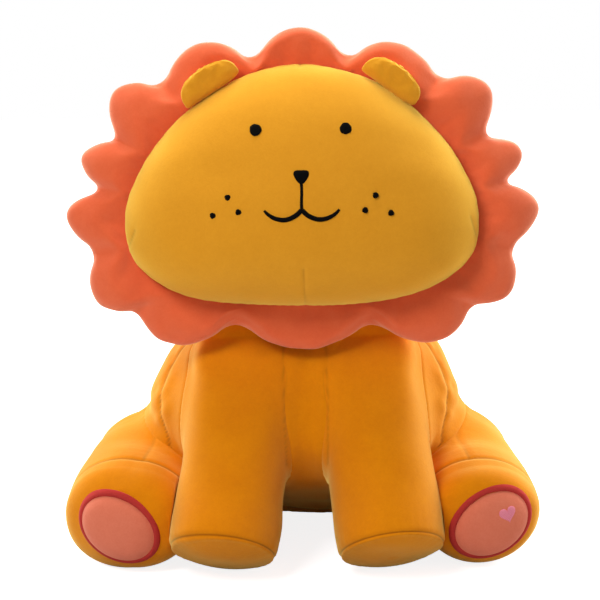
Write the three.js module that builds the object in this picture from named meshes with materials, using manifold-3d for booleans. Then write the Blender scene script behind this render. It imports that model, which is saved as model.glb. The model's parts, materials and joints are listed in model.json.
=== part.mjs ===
// Seated plush lion: pile fabric panels sewn over fibre filling, with a padded scalloped mane.
// Millimetres, +Z up. The lion looks along -Y, and +X lies on the viewer's right.
// The origin lies on the floor, in the middle of the seat. Depths are given from under the middle of
// the body, and the whole toy is moved at the end.
import * as THREE from "three";
import { mergeVertices } from "three/addons/utils/BufferGeometryUtils.js";
import Module from "manifold-3d";

const wasm = await Module();
wasm.setup();

// Fabric and clearances
const cloth = 2; // thickness of the pile fabric
const gap = 0.3; // clearance between neighbouring pieces
const floorDip = 0.5; // depth to which each resting form is cut flat
const overrun = 40; // how far every cutter runs past what it cuts
const threadHeight = 1.2; // how far stitched thread stands above the fabric

// Body
const bodyHalfWidth = 123;
const bodyHeight = 178; // from the floor to the root of the neck
const bodyFront = 65; // reach of the chest in front of the middle
const bodyBack = 112; // reach of the rump behind it
const gussetHalfWidth = 16; // half the width of the panel between the front legs
const seatPanelHeight = 7;
const bodySquareness = 2.2; // 2 makes round sections, more makes them squarer
const neckRadius = 52;
const neckDepth = 24; // how far the neck lies behind the middle
const neckDrop = 6; // from the top of the body down to the middle of the neck's ball
const neckHeight = bodyHeight - neckDrop;

// Head, in its own frame: the origin is the middle of the seam round the face, at cheek height
const headDepth = -34;
const headRise = 84.5; // from the middle of the neck's ball
const headHeight = neckHeight + headRise;
const headPitch = 10; // degrees by which the head leans back
const faceHalfWidth = 132;
const crownRise = 118; // from cheek height up to the top of the face
const chinDrop = 62.5; // from cheek height down to the chin
const faceDome = 58; // how far the face bulges forward
const headBack = 92; // how far the back of the head bulges
const crownSquareness = 1.75;
const chinSquareness = 2.55;
const headFullness = 2.3; // squareness of the dome from seam to middle

// Mane
const maneReach = 172; // from the middle to the widest lobe
const maneThickness = 23;
const maneSetback = 7; // how far the middle of the mane lies behind the face seam
const maneFillingInset = cloth + 3 * gap; // more than elsewhere, for the panels bend sharply at the rim

// Ears
const earHalfWidth = 24;
const earHeight = 17.5;
const earHalfThickness = 4.6;
const earStand = 2.1; // how far the foot of an ear stands outside the seam of the face
const earLean = 22; // degrees by which an ear leans forward of the mane

// Thread work on the face, as distances from the middle of the face
const eyeRadius = 4.2;
const eyeSpread = 32.7;
const eyeRise = 68;
const noseHalfWidth = 5.4;
const noseHalfHeight = 5.1;
const noseRise = 33;
const lineHalfWidth = 1.1;
const mouthHalfWidth = 27;
const mouthRise = 9.3;
const mouthDrop = 6;
const mouthHalfThickness = 1.3;
const freckleRadius = 2.1;
const freckleReach = 64.5;

// Front legs
const shoulderSpread = 48;
const shoulderDepth = -28;
const shoulderHeight = 124;
const shoulderRadius = 42;
const frontLegRadius = 39; // at the sole
const frontLegLean = 36; // degrees forward of upright
const frontLegSplay = 6.6; // degrees outward
const soleBulge = 9;

// Hind legs
const hipSpread = 114;
const hipDepth = 20;
const hipRadius = 48;
const hindLegLength = 112; // from the hip to the toes
const hindLegRadius = 45;
const hindLegFlatness = 0.84; // height of its section as a share of the width
const hindLegSplay = 10.5; // degrees outward
const hindLegSwing = 15; // degrees that the leg can turn outward
const legRoom = 1.2; // between a hind leg and the front leg that swings beside it
const footSeam = 76; // from the hip to the seam round the foot
const padHalfLength = 32;
const padHalfWidth = 25;
const padTilt = 29; // degrees
const padSide = 3; // how far the middle of the pad lies outside that of the foot
const padDrop = 0.5; // how far it lies below
const pipingWidth = 4;
const pipingHeight = 2.2;
const heartHalfWidth = 6.4;
const heartSide = 11; // from the middle of the pad towards its outer end
const heartRise = 8;

// Tail
const tailRootDepth = 110;
const tailRootHeight = 40;
const tailRootRadius = 12;
const tailRadius = 8.5;
const tailLength = 62; // from the root to the tuft
const tuftLength = 44;
const tuftRadius = 17;
const tuftClearance = 4; // from the tuft down to the floor

// Number of facets around each form
const bodyFacets = 24;
const headFacets = 28;
const legFacets = 16;
const lobeFacets = 6;
const weltFacets = 24;
const weltSectionFacets = 6;
const curveFacets = 4; // for each curve of a stitched outline
const earFacets = 12;
const tailFacets = 10;
const cutterFacets = 14;

const lionHeadFrame = frameAt([0, headDepth, headHeight], [-headPitch, 0, 0]);

// Materials, one for each kind of fabric or thread
const gold = fabric(0xeea030);
const faceGold = fabric(0xefaa3c);
const rust = fabric(0xe4683e);
const rose = fabric(0xdc7a5c);
const piping = fabric(0xb53a30);
const pink = fabric(0xd8707c);
const fibre = fabric(0xf2efe8);
const thread = new THREE.MeshStandardMaterial({ color: 0x14100f, roughness: 0.5, metalness: 0 });

function fabric(color) {
  return new THREE.MeshStandardMaterial({ color, roughness: 0.85, metalness: 0 });
}

// Geometry helpers

function radians(degrees) {
  return THREE.MathUtils.degToRad(degrees);
}

function frameAt(place, degrees) {
  const turn = new THREE.Euler(...degrees.map(radians));
  const rotation = new THREE.Quaternion().setFromEuler(turn);
  return new THREE.Matrix4().compose(new THREE.Vector3(...place), rotation, new THREE.Vector3(1, 1, 1));
}

// A signed power, which makes a superellipse from the sine and cosine of an angle.
function power(value, exponent) {
  return Math.sign(value) * Math.abs(value) ** exponent;
}

function surface(points, faces) {
  const geometry = new THREE.BufferGeometry();
  geometry.setAttribute("position", new THREE.Float32BufferAttribute(points.flat(), 3));
  geometry.setIndex(faces);
  return geometry;
}

// A closed surface over rings of one count, with a pole at each end.
// The rings run counterclockwise seen from the last pole.
function lofted(firstPole, rings, lastPole) {
  const around = rings[0].length;
  const points = [firstPole, ...rings.flat(), lastPole];
  const last = points.length - 1;
  const at = (ring, step) => 1 + ring * around + (step % around);
  const faces = [];
  for (let step = 0; step < around; step++) {
    faces.push(0, at(0, step + 1), at(0, step));
    for (let ring = 1; ring < rings.length; ring++) {
      faces.push(at(ring - 1, step), at(ring - 1, step + 1), at(ring, step));
      faces.push(at(ring - 1, step + 1), at(ring, step + 1), at(ring, step));
    }
    faces.push(at(rings.length - 1, step), at(rings.length - 1, step + 1), last);
  }
  return surface(points, faces);
}

// A closed band: each section is a closed loop of points, and the sections follow a closed path.
function looped(sections) {
  const across = sections[0].length;
  const at = (section, point) => (section % sections.length) * across + (point % across);
  const faces = [];
  for (let section = 0; section < sections.length; section++) {
    for (let point = 0; point < across; point++) {
      faces.push(at(section, point), at(section + 1, point), at(section, point + 1));
      faces.push(at(section + 1, point), at(section + 1, point + 1), at(section, point + 1));
    }
  }
  return surface(sections.flat(), faces);
}

// The same surface with every vertex moved out along its normal.
function swollen(geometry, distance) {
  const moved = geometry.clone();
  moved.computeVertexNormals();
  const { position, normal } = moved.attributes;
  for (let i = 0; i < position.count; i++) {
    position.setXYZ(
      i,
      position.getX(i) + distance * normal.getX(i),
      position.getY(i) + distance * normal.getY(i),
      position.getZ(i) + distance * normal.getZ(i),
    );
  }
  return moved;
}

function solid(geometry) {
  const bare = geometry.clone();
  bare.deleteAttribute("normal");
  bare.deleteAttribute("uv");
  const merged = mergeVertices(bare);
  return new wasm.Manifold(
    new wasm.Mesh({
      numProp: 3,
      vertProperties: new Float32Array(merged.attributes.position.array),
      triVerts: new Uint32Array(merged.index.array),
    }),
  );
}

function placed(geometry, frame) {
  return solid(geometry.clone().applyMatrix4(frame));
}

function piece(name, body, material) {
  const mesh = body.getMesh();
  const geometry = new THREE.BufferGeometry();
  geometry.setAttribute("position", new THREE.Float32BufferAttribute(mesh.vertProperties, 3));
  geometry.setIndex(new THREE.BufferAttribute(mesh.triVerts, 1));
  geometry.computeVertexNormals();
  const made = new THREE.Mesh(geometry, material);
  made.name = name;
  return made;
}

function box(low, high) {
  const size = high.map((value, axis) => value - low[axis]);
  const middle = high.map((value, axis) => (value + low[axis]) / 2);
  return new THREE.BoxGeometry(...size).translate(...middle);
}

// A faceted ball whose flats, and not only its corners, lie at the radius or further out.
function roomyBall(radius) {
  const flat = Math.cos(Math.PI / cutterFacets);
  return new THREE.SphereGeometry(radius / (flat * flat), cutterFacets, cutterFacets / 2);
}

function ring(facets, halfX, halfY, exponent, place) {
  return Array.from({ length: facets }, (unused, step) => {
    const angle = (2 * Math.PI * step) / facets;
    const x = halfX * power(Math.cos(angle), 2 / exponent);
    const y = halfY * power(Math.sin(angle), 2 / exponent);
    return place(x, y);
  });
}

// Everything under the floor, as a cutter in the frame of the piece that rests there.
function underFloor(frame) {
  const reach = bodyHalfWidth + bodyBack + hindLegLength;
  const slab = box([-reach, -reach, -overrun], [reach, reach, 0]);
  return placed(slab, frame.clone().invert());
}

// The fabric, the filling and the room that the fabric needs, all worked out from one closed form.
function upholstered(form) {
  return {
    form,
    fabric: solid(form).subtract(solid(swollen(form, -cloth))),
    filling: solid(swollen(form, -cloth - gap)),
    room: solid(swollen(form, gap)),
  };
}

// Body: a pear that leans forward over a raised belly and ends in a round neck.
// Each station gives its height, half-width, reach in front and reach behind.
const bodyStationShares = [
  [0, 0.6, -0.86, 0.86],
  [0.067, 0.78, -0.58, 0.94],
  [0.169, 0.92, 0.02, 0.98],
  [0.29, 0.99, 0.62, 1],
  [0.41, 1, 0.9, 0.98],
  [0.55, 0.97, 1, 0.91],
  [0.69, 0.9, 0.9, 0.83],
  [0.82, 0.79, 0.64, 0.76],
  [0.92, 0.65, 0.4, 0.71],
  [1, 0.5, 0.33, 0.67],
];
const neckAngles = [70, 47, 23]; // degrees from the top of the neck

// The seat is the flat under the first station.
function seatDepth() {
  const [, , front, back] = bodyStationShares[0];
  return (back * bodyBack - front * bodyFront) / 2;
}

function bodyForm() {
  const rings = bodyStationShares.map(([height, width, front, back]) => {
    const low = -front * bodyFront;
    const high = back * bodyBack;
    const middle = (low + high) / 2;
    const z = height === 0 ? -floorDip : height * bodyHeight;
    const halfDepth = (high - low) / 2;
    return ring(bodyFacets, width * bodyHalfWidth, halfDepth, bodySquareness, (x, y) => [x, middle + y, z]);
  });
  neckAngles.forEach((angle) => {
    const radius = neckRadius * Math.sin(radians(angle));
    const z = neckHeight + neckRadius * Math.cos(radians(angle));
    rings.push(ring(bodyFacets, radius, radius, 2, (x, y) => [x, neckDepth + y, z]));
  });
  return lofted([0, seatDepth(), -floorDip], rings, [0, neckDepth, neckHeight + neckRadius]);
}

// Front leg: a column with a round shoulder, in a frame whose +Z runs up the leg from the shoulder.
function frontLegLength() {
  const heelDrop = frontLegRadius * Math.sin(radians(frontLegLean));
  const reach = shoulderHeight + floorDip - heelDrop;
  return reach / (Math.cos(radians(frontLegLean)) * Math.cos(radians(frontLegSplay)));
}

// Each station gives its place as a share of the leg's length and its radius as a share of the sole's.
const frontLegStationShares = [
  [1, 1],
  [0.9, 1.035],
  [0.7, 1.02],
  [0.45, 1.02],
  [0.22, 1.05],
];
const soleStationShares = [
  [0.8, 0.55],
  [0.35, 0.86],
];
const shoulderAngles = [0, 32, 62]; // degrees above the middle of the shoulder

function frontLegForm() {
  const length = frontLegLength();
  const stations = [
    ...soleStationShares.map(([drop, wide]) => [-length - drop * soleBulge, wide * frontLegRadius]),
    ...frontLegStationShares.map(([along, wide]) => [-along * length, wide * frontLegRadius]),
    ...shoulderAngles.map((angle) => [
      shoulderRadius * Math.sin(radians(angle)),
      shoulderRadius * Math.cos(radians(angle)),
    ]),
  ];
  const rings = stations.map(([z, radius]) => ring(legFacets, radius, radius, 2, (x, y) => [x, y, z]));
  return lofted([0, 0, -length - soleBulge], rings, [0, 0, shoulderRadius]);
}

function frontLegFrame(side) {
  const place = [side * shoulderSpread, shoulderDepth, shoulderHeight];
  return frameAt(place, [-frontLegLean, -side * frontLegSplay, 0]);
}

// The way that the leg sweeps through the chest as it swings forward.
function frontLegSweep(side) {
  const wide = shoulderRadius + gap;
  const reach = shoulderRadius + overrun;
  const place = [side * shoulderSpread, shoulderDepth, shoulderHeight];
  return placed(box([-wide, -reach, -reach], [wide, 0, 0]), frameAt(place, [-frontLegLean, 0, 0]));
}

// Hind leg: a round haunch that narrows to a blunt foot, in a frame whose -Y runs from hip to toes.
function hipHeight() {
  return hipRadius - floorDip;
}

// Each station gives its place as a share of the leg's length and its radius as a share of the leg's.
const hindLegStationShares = [
  [0.985, 0.5],
  [0.95, 0.78],
  [0.88, 0.94],
  [0.76, 1.01],
  [0.55, 1.07],
  [0.35, 1.11],
];
const hipAngles = [15, -15, -45, -70]; // degrees towards the toes from the middle of the hip

// The middle line of the leg drops as the leg gets lower, so that its underside stays on the floor.
function legDrop(halfHeight) {
  return hipRadius - Math.max(halfHeight, hindLegRadius * hindLegFlatness);
}

function footDrop() {
  return legDrop(hindLegRadius * hindLegFlatness);
}

function hindLegForm() {
  const stations = [
    ...hindLegStationShares.map(([along, wide]) => [
      -along * hindLegLength,
      wide * hindLegRadius,
      wide * hindLegRadius * hindLegFlatness,
    ]),
    ...hipAngles.map((angle) => [
      -hipRadius * Math.sin(radians(angle)),
      hipRadius * Math.cos(radians(angle)),
      hipRadius * Math.cos(radians(angle)),
    ]),
  ];
  const rings = stations.map(([y, halfWidth, halfHeight]) => {
    const drop = y < 0 ? legDrop(halfHeight) : 0;
    return ring(legFacets, halfWidth, halfHeight, 2, (x, z) => [x, y, z - drop]);
  });
  rings.reverse();
  return lofted([0, hipRadius, 0], rings, [0, -hindLegLength, -footDrop()]);
}

// How far along -Y the foot's surface lies at a distance to the side of the leg's middle line.
function footReach(distance) {
  const stations = [[1, 0], ...hindLegStationShares];
  const after = Math.max(1, stations.findIndex(([, wide]) => wide * hindLegRadius >= distance));
  const [nearAlong, nearWide] = stations[after - 1];
  const [farAlong, farWide] = stations[after];
  const part = (distance / hindLegRadius - nearWide) / (farWide - nearWide);
  return (nearAlong + (farAlong - nearAlong) * part) * hindLegLength;
}

// The corded welt round the pad: a tube along an oval that follows the rounded foot.
function padWelt(side, padX, padZ) {
  const tilt = side * radians(padTilt);
  const sections = Array.from({ length: weltFacets }, (unused, step) => {
    const angle = (2 * Math.PI * step) / weltFacets;
    const along = padHalfLength * Math.cos(angle);
    const across = padHalfWidth * Math.sin(angle);
    const x = padX + along * Math.cos(tilt) - across * Math.sin(tilt);
    const z = padZ + along * Math.sin(tilt) + across * Math.cos(tilt);
    const y = -footReach(Math.hypot(x, (z + footDrop()) / hindLegFlatness));
    const outward = Math.hypot(x - padX, z - padZ);
    return ring(weltSectionFacets, pipingWidth / 2, pipingHeight, 2, (wide, high) => [
      x + (wide * (x - padX)) / outward,
      y - high,
      z + (wide * (z - padZ)) / outward,
    ]);
  });
  return looped(sections);
}

function hindLegFrame(side) {
  return frameAt([side * hipSpread, hipDepth, hipHeight()], [0, 0, side * hindLegSplay]);
}

// The way that the thigh sweeps as it swings outward: it widens sideways only.
function hindLegSweep(side) {
  const half = radians(hindLegSwing) / 2;
  const steps = [0, hipRadius, 2 * hipRadius];
  const rings = steps.map((along) => {
    const wide = hindLegRadius + cloth + along * Math.tan(half);
    return ring(cutterFacets, wide, hindLegRadius + cloth, 2, (x, z) => [x, -along, z]);
  });
  const cutter = lofted([0, 0, 0], rings, [0, -2 * hipRadius, 0]);
  const middle = hindLegSplay + hindLegSwing / 2;
  return placed(cutter, frameAt([side * hipSpread, hipDepth, hipHeight()], [0, 0, side * middle]));
}

// Head: a dome in front of the seam and a deeper one behind it, on one rounded outline.
function outlineHalf(height) {
  if (height >= 0) {
    return { exponent: crownSquareness, rise: crownRise };
  }
  return { exponent: chinSquareness, rise: chinDrop };
}

function faceOutline(angle) {
  const { exponent, rise } = outlineHalf(Math.sin(angle));
  return [
    faceHalfWidth * power(Math.cos(angle), 2 / exponent),
    rise * power(Math.sin(angle), 2 / exponent),
  ];
}
const faceAngles = [20, 42, 62, 78]; // degrees from the middle of the face towards the seam
const backAngles = [90, 104, 124, 144, 162]; // degrees from there to the middle of the back

function headForm() {
  const fullness = 2 / headFullness;
  const rings = [...faceAngles, ...backAngles].map((degrees) => {
    const spread = power(Math.sin(radians(degrees)), fullness);
    const forward = Math.cos(radians(degrees));
    const y = -power(forward, fullness) * (forward > 0 ? faceDome : headBack);
    return Array.from({ length: headFacets }, (unused, step) => {
      const [x, z] = faceOutline((2 * Math.PI * step) / headFacets);
      return [x * spread, y, z * spread];
    });
  });
  rings.forEach((points) => points.reverse());
  return lofted([0, -faceDome, 0], rings, [0, headBack, 0]);
}

// The neck as seen from the head's own frame.
function neckRoom() {
  const place = new THREE.Vector3(0, neckDepth, neckHeight).applyMatrix4(lionHeadFrame.clone().invert());
  return solid(roomyBall(neckRadius + gap).translate(place.x, place.y, place.z));
}

// Mane: padded lobes round the face. Tips and notches are given for one half, from the top down,
// as shares of the mane's reach.
const lobeTipShares = [
  [0, 0.85],
  [0.42, 0.773],
  [0.797, 0.564],
  [0.936, 0.28],
  [1, 0.047],
  [0.907, -0.273],
  [0.547, -0.509],
  [0, -0.523],
];
const lobeNotchShares = [
  [0.208, 0.702],
  [0.6, 0.597],
  [0.787, 0.358],
  [0.871, 0.152],
  [0.9, -0.12],
  [0.715, -0.36],
  [0.298, -0.428],
];
const notchThicknessShare = 0.55; // of the mane's thickness, where two lobes meet
const lobeFullness = 0.7; // under 1 makes the lobes rounder than a sine wave

// Places across the mane from the face seam to the rim, with the thickness there.
const maneSectionShares = [
  [0, 0.62],
  [0.36, 0.98],
  [0.78, 0.86],
  [1, 0],
];

function mirroredLoop(half, sharedEnds) {
  const other = sharedEnds ? half.slice(1, -1) : half;
  return [...half, ...other.reverse().map(([x, z]) => [-x, z])];
}

// The outline of the mane: for each step its point on the rim and how far it is from a notch.
function maneRim() {
  const tips = mirroredLoop(lobeTipShares.slice(), true);
  const notches = mirroredLoop(lobeNotchShares.slice(), false);
  return tips.flatMap(([tipX, tipZ], lobe) => {
    const [fromX, fromZ] = notches[(lobe + notches.length - 1) % notches.length];
    const [toX, toZ] = notches[lobe];
    return Array.from({ length: lobeFacets }, (unused, step) => {
      const along = step / lobeFacets;
      const bulge = Math.sin(Math.PI * along) ** lobeFullness;
      const x = fromX + (toX - fromX) * along + (tipX - (fromX + toX) / 2) * bulge;
      const z = fromZ + (toZ - fromZ) * along + (tipZ - (fromZ + toZ) / 2) * bulge;
      return { x: maneReach * x, z: maneReach * z, bulge };
    });
  });
}

// The point of the face outline that lies in the direction of a point of the rim.
function seamPoint(x, z) {
  const { exponent, rise } = outlineHalf(z);
  const share = (Math.abs(x / faceHalfWidth) ** exponent + Math.abs(z / rise) ** exponent) ** (-1 / exponent);
  const clear = 1 + (2 * gap) / Math.hypot(x * share, z * share);
  return [x * share * clear, z * share * clear];
}

function maneForm() {
  const sections = maneRim().map(({ x, z, bulge }) => {
    const [innerX, innerZ] = seamPoint(x, z);
    const full = (maneThickness / 2) * (notchThicknessShare + (1 - notchThicknessShare) * bulge);
    const row = (side) => ([across, thick]) => [
      innerX + (x - innerX) * across,
      maneSetback + side * thick * full,
      innerZ + (z - innerZ) * across,
    ];
    const front = maneSectionShares.map(row(-1));
    const back = maneSectionShares.slice(0, -1).reverse().map(row(1));
    return [...front, ...back];
  });
  return looped(sections);
}

// One sewn half of the mane's cover: the outer face of the fabric, its inner face, and the two edges.
function manePanel(form, firstPoint, direction) {
  const inside = swollen(form, -cloth).attributes.position;
  const outside = form.attributes.position;
  const across = 2 * maneSectionShares.length - 1;
  const count = outside.count / across;
  const point = (from, section, offset, clear) => {
    const index = section * across + ((firstPoint + offset) % across);
    return [from.getX(index), from.getY(index) + clear, from.getZ(index)];
  };
  const clear = (direction * gap) / 2;
  const sections = Array.from({ length: count }, (unused, section) => {
    const steps = maneSectionShares.map((share, step) => step);
    const outer = steps.map((step) => point(outside, section, step, clear));
    const inner = steps.map((step) => point(inside, section, step, clear));
    return [...outer, ...inner.reverse()];
  });
  return looped(sections);
}

// Ear: a flat padded half-round that stands on its base seam, in a frame with +Z up the ear.
const earStationShares = [
  [-0.14, 0.9, 0.62],
  [0, 1, 1],
  [0.35, 0.97, 1.1],
  [0.66, 0.8, 1.0],
  [0.88, 0.5, 0.7],
];

function earForm() {
  const rings = earStationShares.map(([rise, wide, thick]) =>
    ring(earFacets, wide * earHalfWidth, thick * earHalfThickness, 2, (x, y) => [x, y, rise * earHeight]),
  );
  return lofted([0, 0, -earHalfThickness], rings, [0, 0, earHeight]);
}

// Tail: a tapering tube from a round root down to a tuft that lies just above the floor.
const tailDroopShares = [
  [1, 1],
  [0.75, 0.96],
  [0.5, 0.78],
  [0.25, 0.42],
];

const tailRootAngles = [0, 35, 65]; // degrees from the middle of the root towards the body

function tailDrop() {
  return tailRootHeight - tuftRadius - tuftClearance;
}

function tailForm() {
  const rings = [
    ...tailDroopShares.map(([along, drop]) =>
      ring(tailFacets, tailRadius, tailRadius, 2, (x, z) => [x, along * tailLength, z - drop * tailDrop()]),
    ),
    ...tailRootAngles.map((angle) => {
      const radius = tailRootRadius * Math.cos(radians(angle));
      const y = -tailRootRadius * Math.sin(radians(angle));
      return ring(tailFacets, radius, radius, 2, (x, z) => [x, y, z]);
    }),
  ];
  return lofted([0, tailLength, -tailDrop()], rings, [0, -tailRootRadius, 0]);
}

// The tuft grips the tail's end, so it is a drop with a blunt front.
const tuftStationShares = [
  [0.9, 0.45],
  [0.68, 0.82],
  [0.42, 1],
  [0.18, 0.86],
  [0.02, 0.6],
];

function tuftForm() {
  const start = tailLength + gap;
  const rings = tuftStationShares.map(([along, wide]) =>
    ring(tailFacets, wide * tuftRadius, wide * tuftRadius, 2, (x, z) => [
      x,
      start + along * tuftLength,
      z - tailDrop(),
    ]),
  );
  return lofted([0, start + tuftLength, -tailDrop()], rings, [0, start, -tailDrop()]);
}

// Flat outlines that are stitched on, as prisms along Y
function prism(outline, reach) {
  const geometry = new THREE.ExtrudeGeometry(outline, {
    depth: reach,
    bevelEnabled: false,
    curveSegments: curveFacets,
  });
  return geometry.rotateX(Math.PI / 2);
}

function roundOutline(radius) {
  return new THREE.Shape().absarc(0, 0, radius, 0, 2 * Math.PI);
}

// A rounded triangle with its point down, from points in shares of its half-width and half-height.
const noseOutlineShares = [
  [0.5, -1],
  [0.75, 0],
  [1.3, 1],
  [0.5, 1],
];

function noseOutline() {
  const half = noseOutlineShares.map(([x, z]) => [x * noseHalfWidth, z * noseHalfHeight]);
  const [low, side, high, top] = half;
  const shape = new THREE.Shape();
  shape.moveTo(0, -noseHalfHeight);
  shape.quadraticCurveTo(...low, ...side);
  shape.quadraticCurveTo(...high, ...top);
  shape.lineTo(-top[0], top[1]);
  shape.quadraticCurveTo(-high[0], high[1], -side[0], side[1]);
  shape.quadraticCurveTo(-low[0], low[1], 0, -noseHalfHeight);
  return shape;
}

// One sagging half of the mouth, thick in its middle and pointed at its end.
function mouthOutline(side) {
  const start = side * (lineHalfWidth + gap);
  const end = side * mouthHalfWidth;
  const middle = (start + end) / 2;
  const lowest = -2 * mouthDrop;
  const shape = new THREE.Shape();
  shape.moveTo(start, -mouthHalfThickness);
  shape.quadraticCurveTo(middle, lowest - mouthHalfThickness, end, 0);
  shape.quadraticCurveTo(middle, lowest + 3 * mouthHalfThickness, start, mouthHalfThickness);
  return shape;
}

// A heart from its tip up one side to the notch and down the other, in shares of its half-width.
const heartTipShare = -0.85;
const heartCurveShares = [
  [0.5, -0.45, 1.2, 0, 0.95, 0.5],
  [0.75, 0.95, 0.15, 0.85, 0, 0.4],
  [-0.15, 0.85, -0.75, 0.95, -0.95, 0.5],
  [-1.2, 0, -0.5, -0.45, 0, heartTipShare],
];

function heartOutline() {
  const shape = new THREE.Shape();
  shape.moveTo(0, heartTipShare * heartHalfWidth);
  heartCurveShares.forEach((shares) => {
    shape.bezierCurveTo(...shares.map((share) => share * heartHalfWidth));
  });
  return shape;
}

function ovalOutline(halfLength, halfWidth, side) {
  const tilt = side * radians(padTilt);
  return new THREE.Shape().absellipse(0, 0, halfLength, halfWidth, 0, 2 * Math.PI, false, tilt);
}

// Sub-assemblies

const bodyForms = upholstered(bodyForm());
const headForms = upholstered(headForm());
const legForms = upholstered(frontLegForm());
const hindForms = upholstered(hindLegForm());

// A hind leg gives way where the front leg of its side leans on it.
function pressedBy(side) {
  const roomy = swollen(legForms.form, legRoom).applyMatrix4(frontLegFrame(side));
  return placed(roomy, hindLegFrame(side).invert());
}

function limbRoom() {
  const ball = (radius, x, y, z) => solid(roomyBall(radius + gap).translate(x, y, z));
  return [-1, 1].flatMap((side) => [
    ball(shoulderRadius, side * shoulderSpread, shoulderDepth, shoulderHeight),
    placed(swollen(legForms.form, gap), frontLegFrame(side)),
    frontLegSweep(side),
    ball(hipRadius, side * hipSpread, hipDepth, hipHeight()),
    placed(swollen(hindForms.form, gap), hindLegFrame(side)),
    hindLegSweep(side),
  ]);
}

function bodyGroup() {
  const group = new THREE.Group();
  const tailBall = solid(roomyBall(tailRootRadius + gap).translate(0, tailRootDepth, tailRootHeight));
  const floor = underFloor(new THREE.Matrix4());
  const cutters = [...limbRoom(), tailBall, floor];
  const cut = (whole) => cutters.reduce((rest, cutter) => rest.subtract(cutter), whole);
  const cover = cut(bodyForms.fabric);
  const reach = bodyHalfWidth + overrun;
  const top = neckHeight + neckRadius + overrun;
  const half = gap / 2;
  const above = solid(box([-reach, -reach, seatPanelHeight + half], [reach, reach, top]));
  const below = solid(box([-reach, -reach, -overrun], [reach, reach, seatPanelHeight - half]));
  const wide = gussetHalfWidth + half;
  const narrow = gussetHalfWidth - half;
  const strip = solid(box([-narrow, -reach, -overrun], [narrow, neckDepth - half, top]));
  const notStrip = solid(box([-wide, -reach, -overrun], [wide, neckDepth + half, top]));
  const sides = [-1, 1].map((side) => {
    const low = side < 0 ? -reach : half;
    const high = side < 0 ? -half : reach;
    return solid(box([low, -reach, -overrun], [high, reach, top])).subtract(notStrip);
  });
  const upper = cover.intersect(above);
  group.add(piece("body_panel_left", upper.intersect(sides[0]), gold));
  group.add(piece("body_panel_right", upper.intersect(sides[1]), gold));
  group.add(piece("chest_gusset", upper.intersect(strip), gold));
  group.add(piece("seat_panel", cover.intersect(below), gold));
  group.add(piece("body_filling", cut(bodyForms.filling), fibre));
  return group;
}

function stitched(name, outline, x, z, material) {
  const needle = solid(prism(outline, faceDome + overrun).translate(x, 0, z));
  const raised = solid(swollen(headForms.form, gap + threadHeight));
  return piece(name, needle.intersect(raised).subtract(headForms.room), material);
}

// Where the freckles lie, as shares of the outermost one's distance from the middle.
const freckleShares = [
  [0.83, 0.3],
  [1, 0.1],
  [0.71, 0.135],
];

function faceThread() {
  const pieces = [stitched("nose", noseOutline(), 0, noseRise, thread)];
  const lineTop = noseRise - noseHalfHeight - gap;
  const lineBottom = mouthRise - mouthHalfThickness;
  const line = new THREE.Shape();
  line.moveTo(-lineHalfWidth, lineBottom);
  line.lineTo(lineHalfWidth, lineBottom);
  line.lineTo(lineHalfWidth, lineTop);
  line.lineTo(-lineHalfWidth, lineTop);
  pieces.push(stitched("nose_line", line, 0, 0, thread));
  [-1, 1].forEach((side) => {
    const word = side < 0 ? "left" : "right";
    pieces.push(stitched("eye_" + word, roundOutline(eyeRadius), side * eyeSpread, eyeRise, thread));
    pieces.push(stitched("mouth_" + word, mouthOutline(side), 0, mouthRise, thread));
    freckleShares.forEach(([x, z], index) => {
      const name = "freckle_" + word + "_" + (index + 1);
      const spot = roundOutline(freckleRadius);
      pieces.push(stitched(name, spot, side * x * freckleReach, z * freckleReach, thread));
    });
  });
  return pieces;
}

// The ears stand in the corner between the face and the mane, square to the face outline.
const earAngle = 58; // degrees round the face outline from the cheek
const earAngleStep = 2; // degrees between the points that give the direction of the outline

function earGroup(side) {
  const [x, z] = faceOutline(radians(earAngle));
  const [nextX, nextZ] = faceOutline(radians(earAngle + earAngleStep));
  const turn = THREE.MathUtils.radToDeg(Math.atan2(nextZ - z, nextX - x)) - 180;
  const front = maneSetback - (maneThickness / 2) * maneSectionShares[1][1];
  const outward = earStand / Math.hypot(x, z);
  const place = [side * x * (1 + outward), front - 2 * earHalfThickness, z * (1 + outward)];
  const frame = frameAt(place, [0, -side * turn, 0]).multiply(frameAt([0, 0, 0], [earLean, 0, 0]));
  const group = new THREE.Group();
  frame.decompose(group.position, group.quaternion, group.scale);
  const back = frame.clone().invert();
  const clear = [placed(swollen(headForms.form, gap), back), placed(swollen(maneShape, gap), back)];
  const whole = clear.reduce((rest, cutter) => rest.subtract(cutter), solid(earForm()));
  const reach = earHalfWidth + earHeight;
  const word = side < 0 ? "left" : "right";
  const frontHalf = solid(box([-reach, -reach, -reach], [reach, -gap / 2, reach]));
  const backHalf = solid(box([-reach, gap / 2, -reach], [reach, reach, reach]));
  group.add(piece("ear_front_" + word, whole.intersect(frontHalf), gold));
  group.add(piece("ear_back_" + word, whole.intersect(backHalf), gold));
  return group;
}

const maneShape = maneForm();

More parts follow.
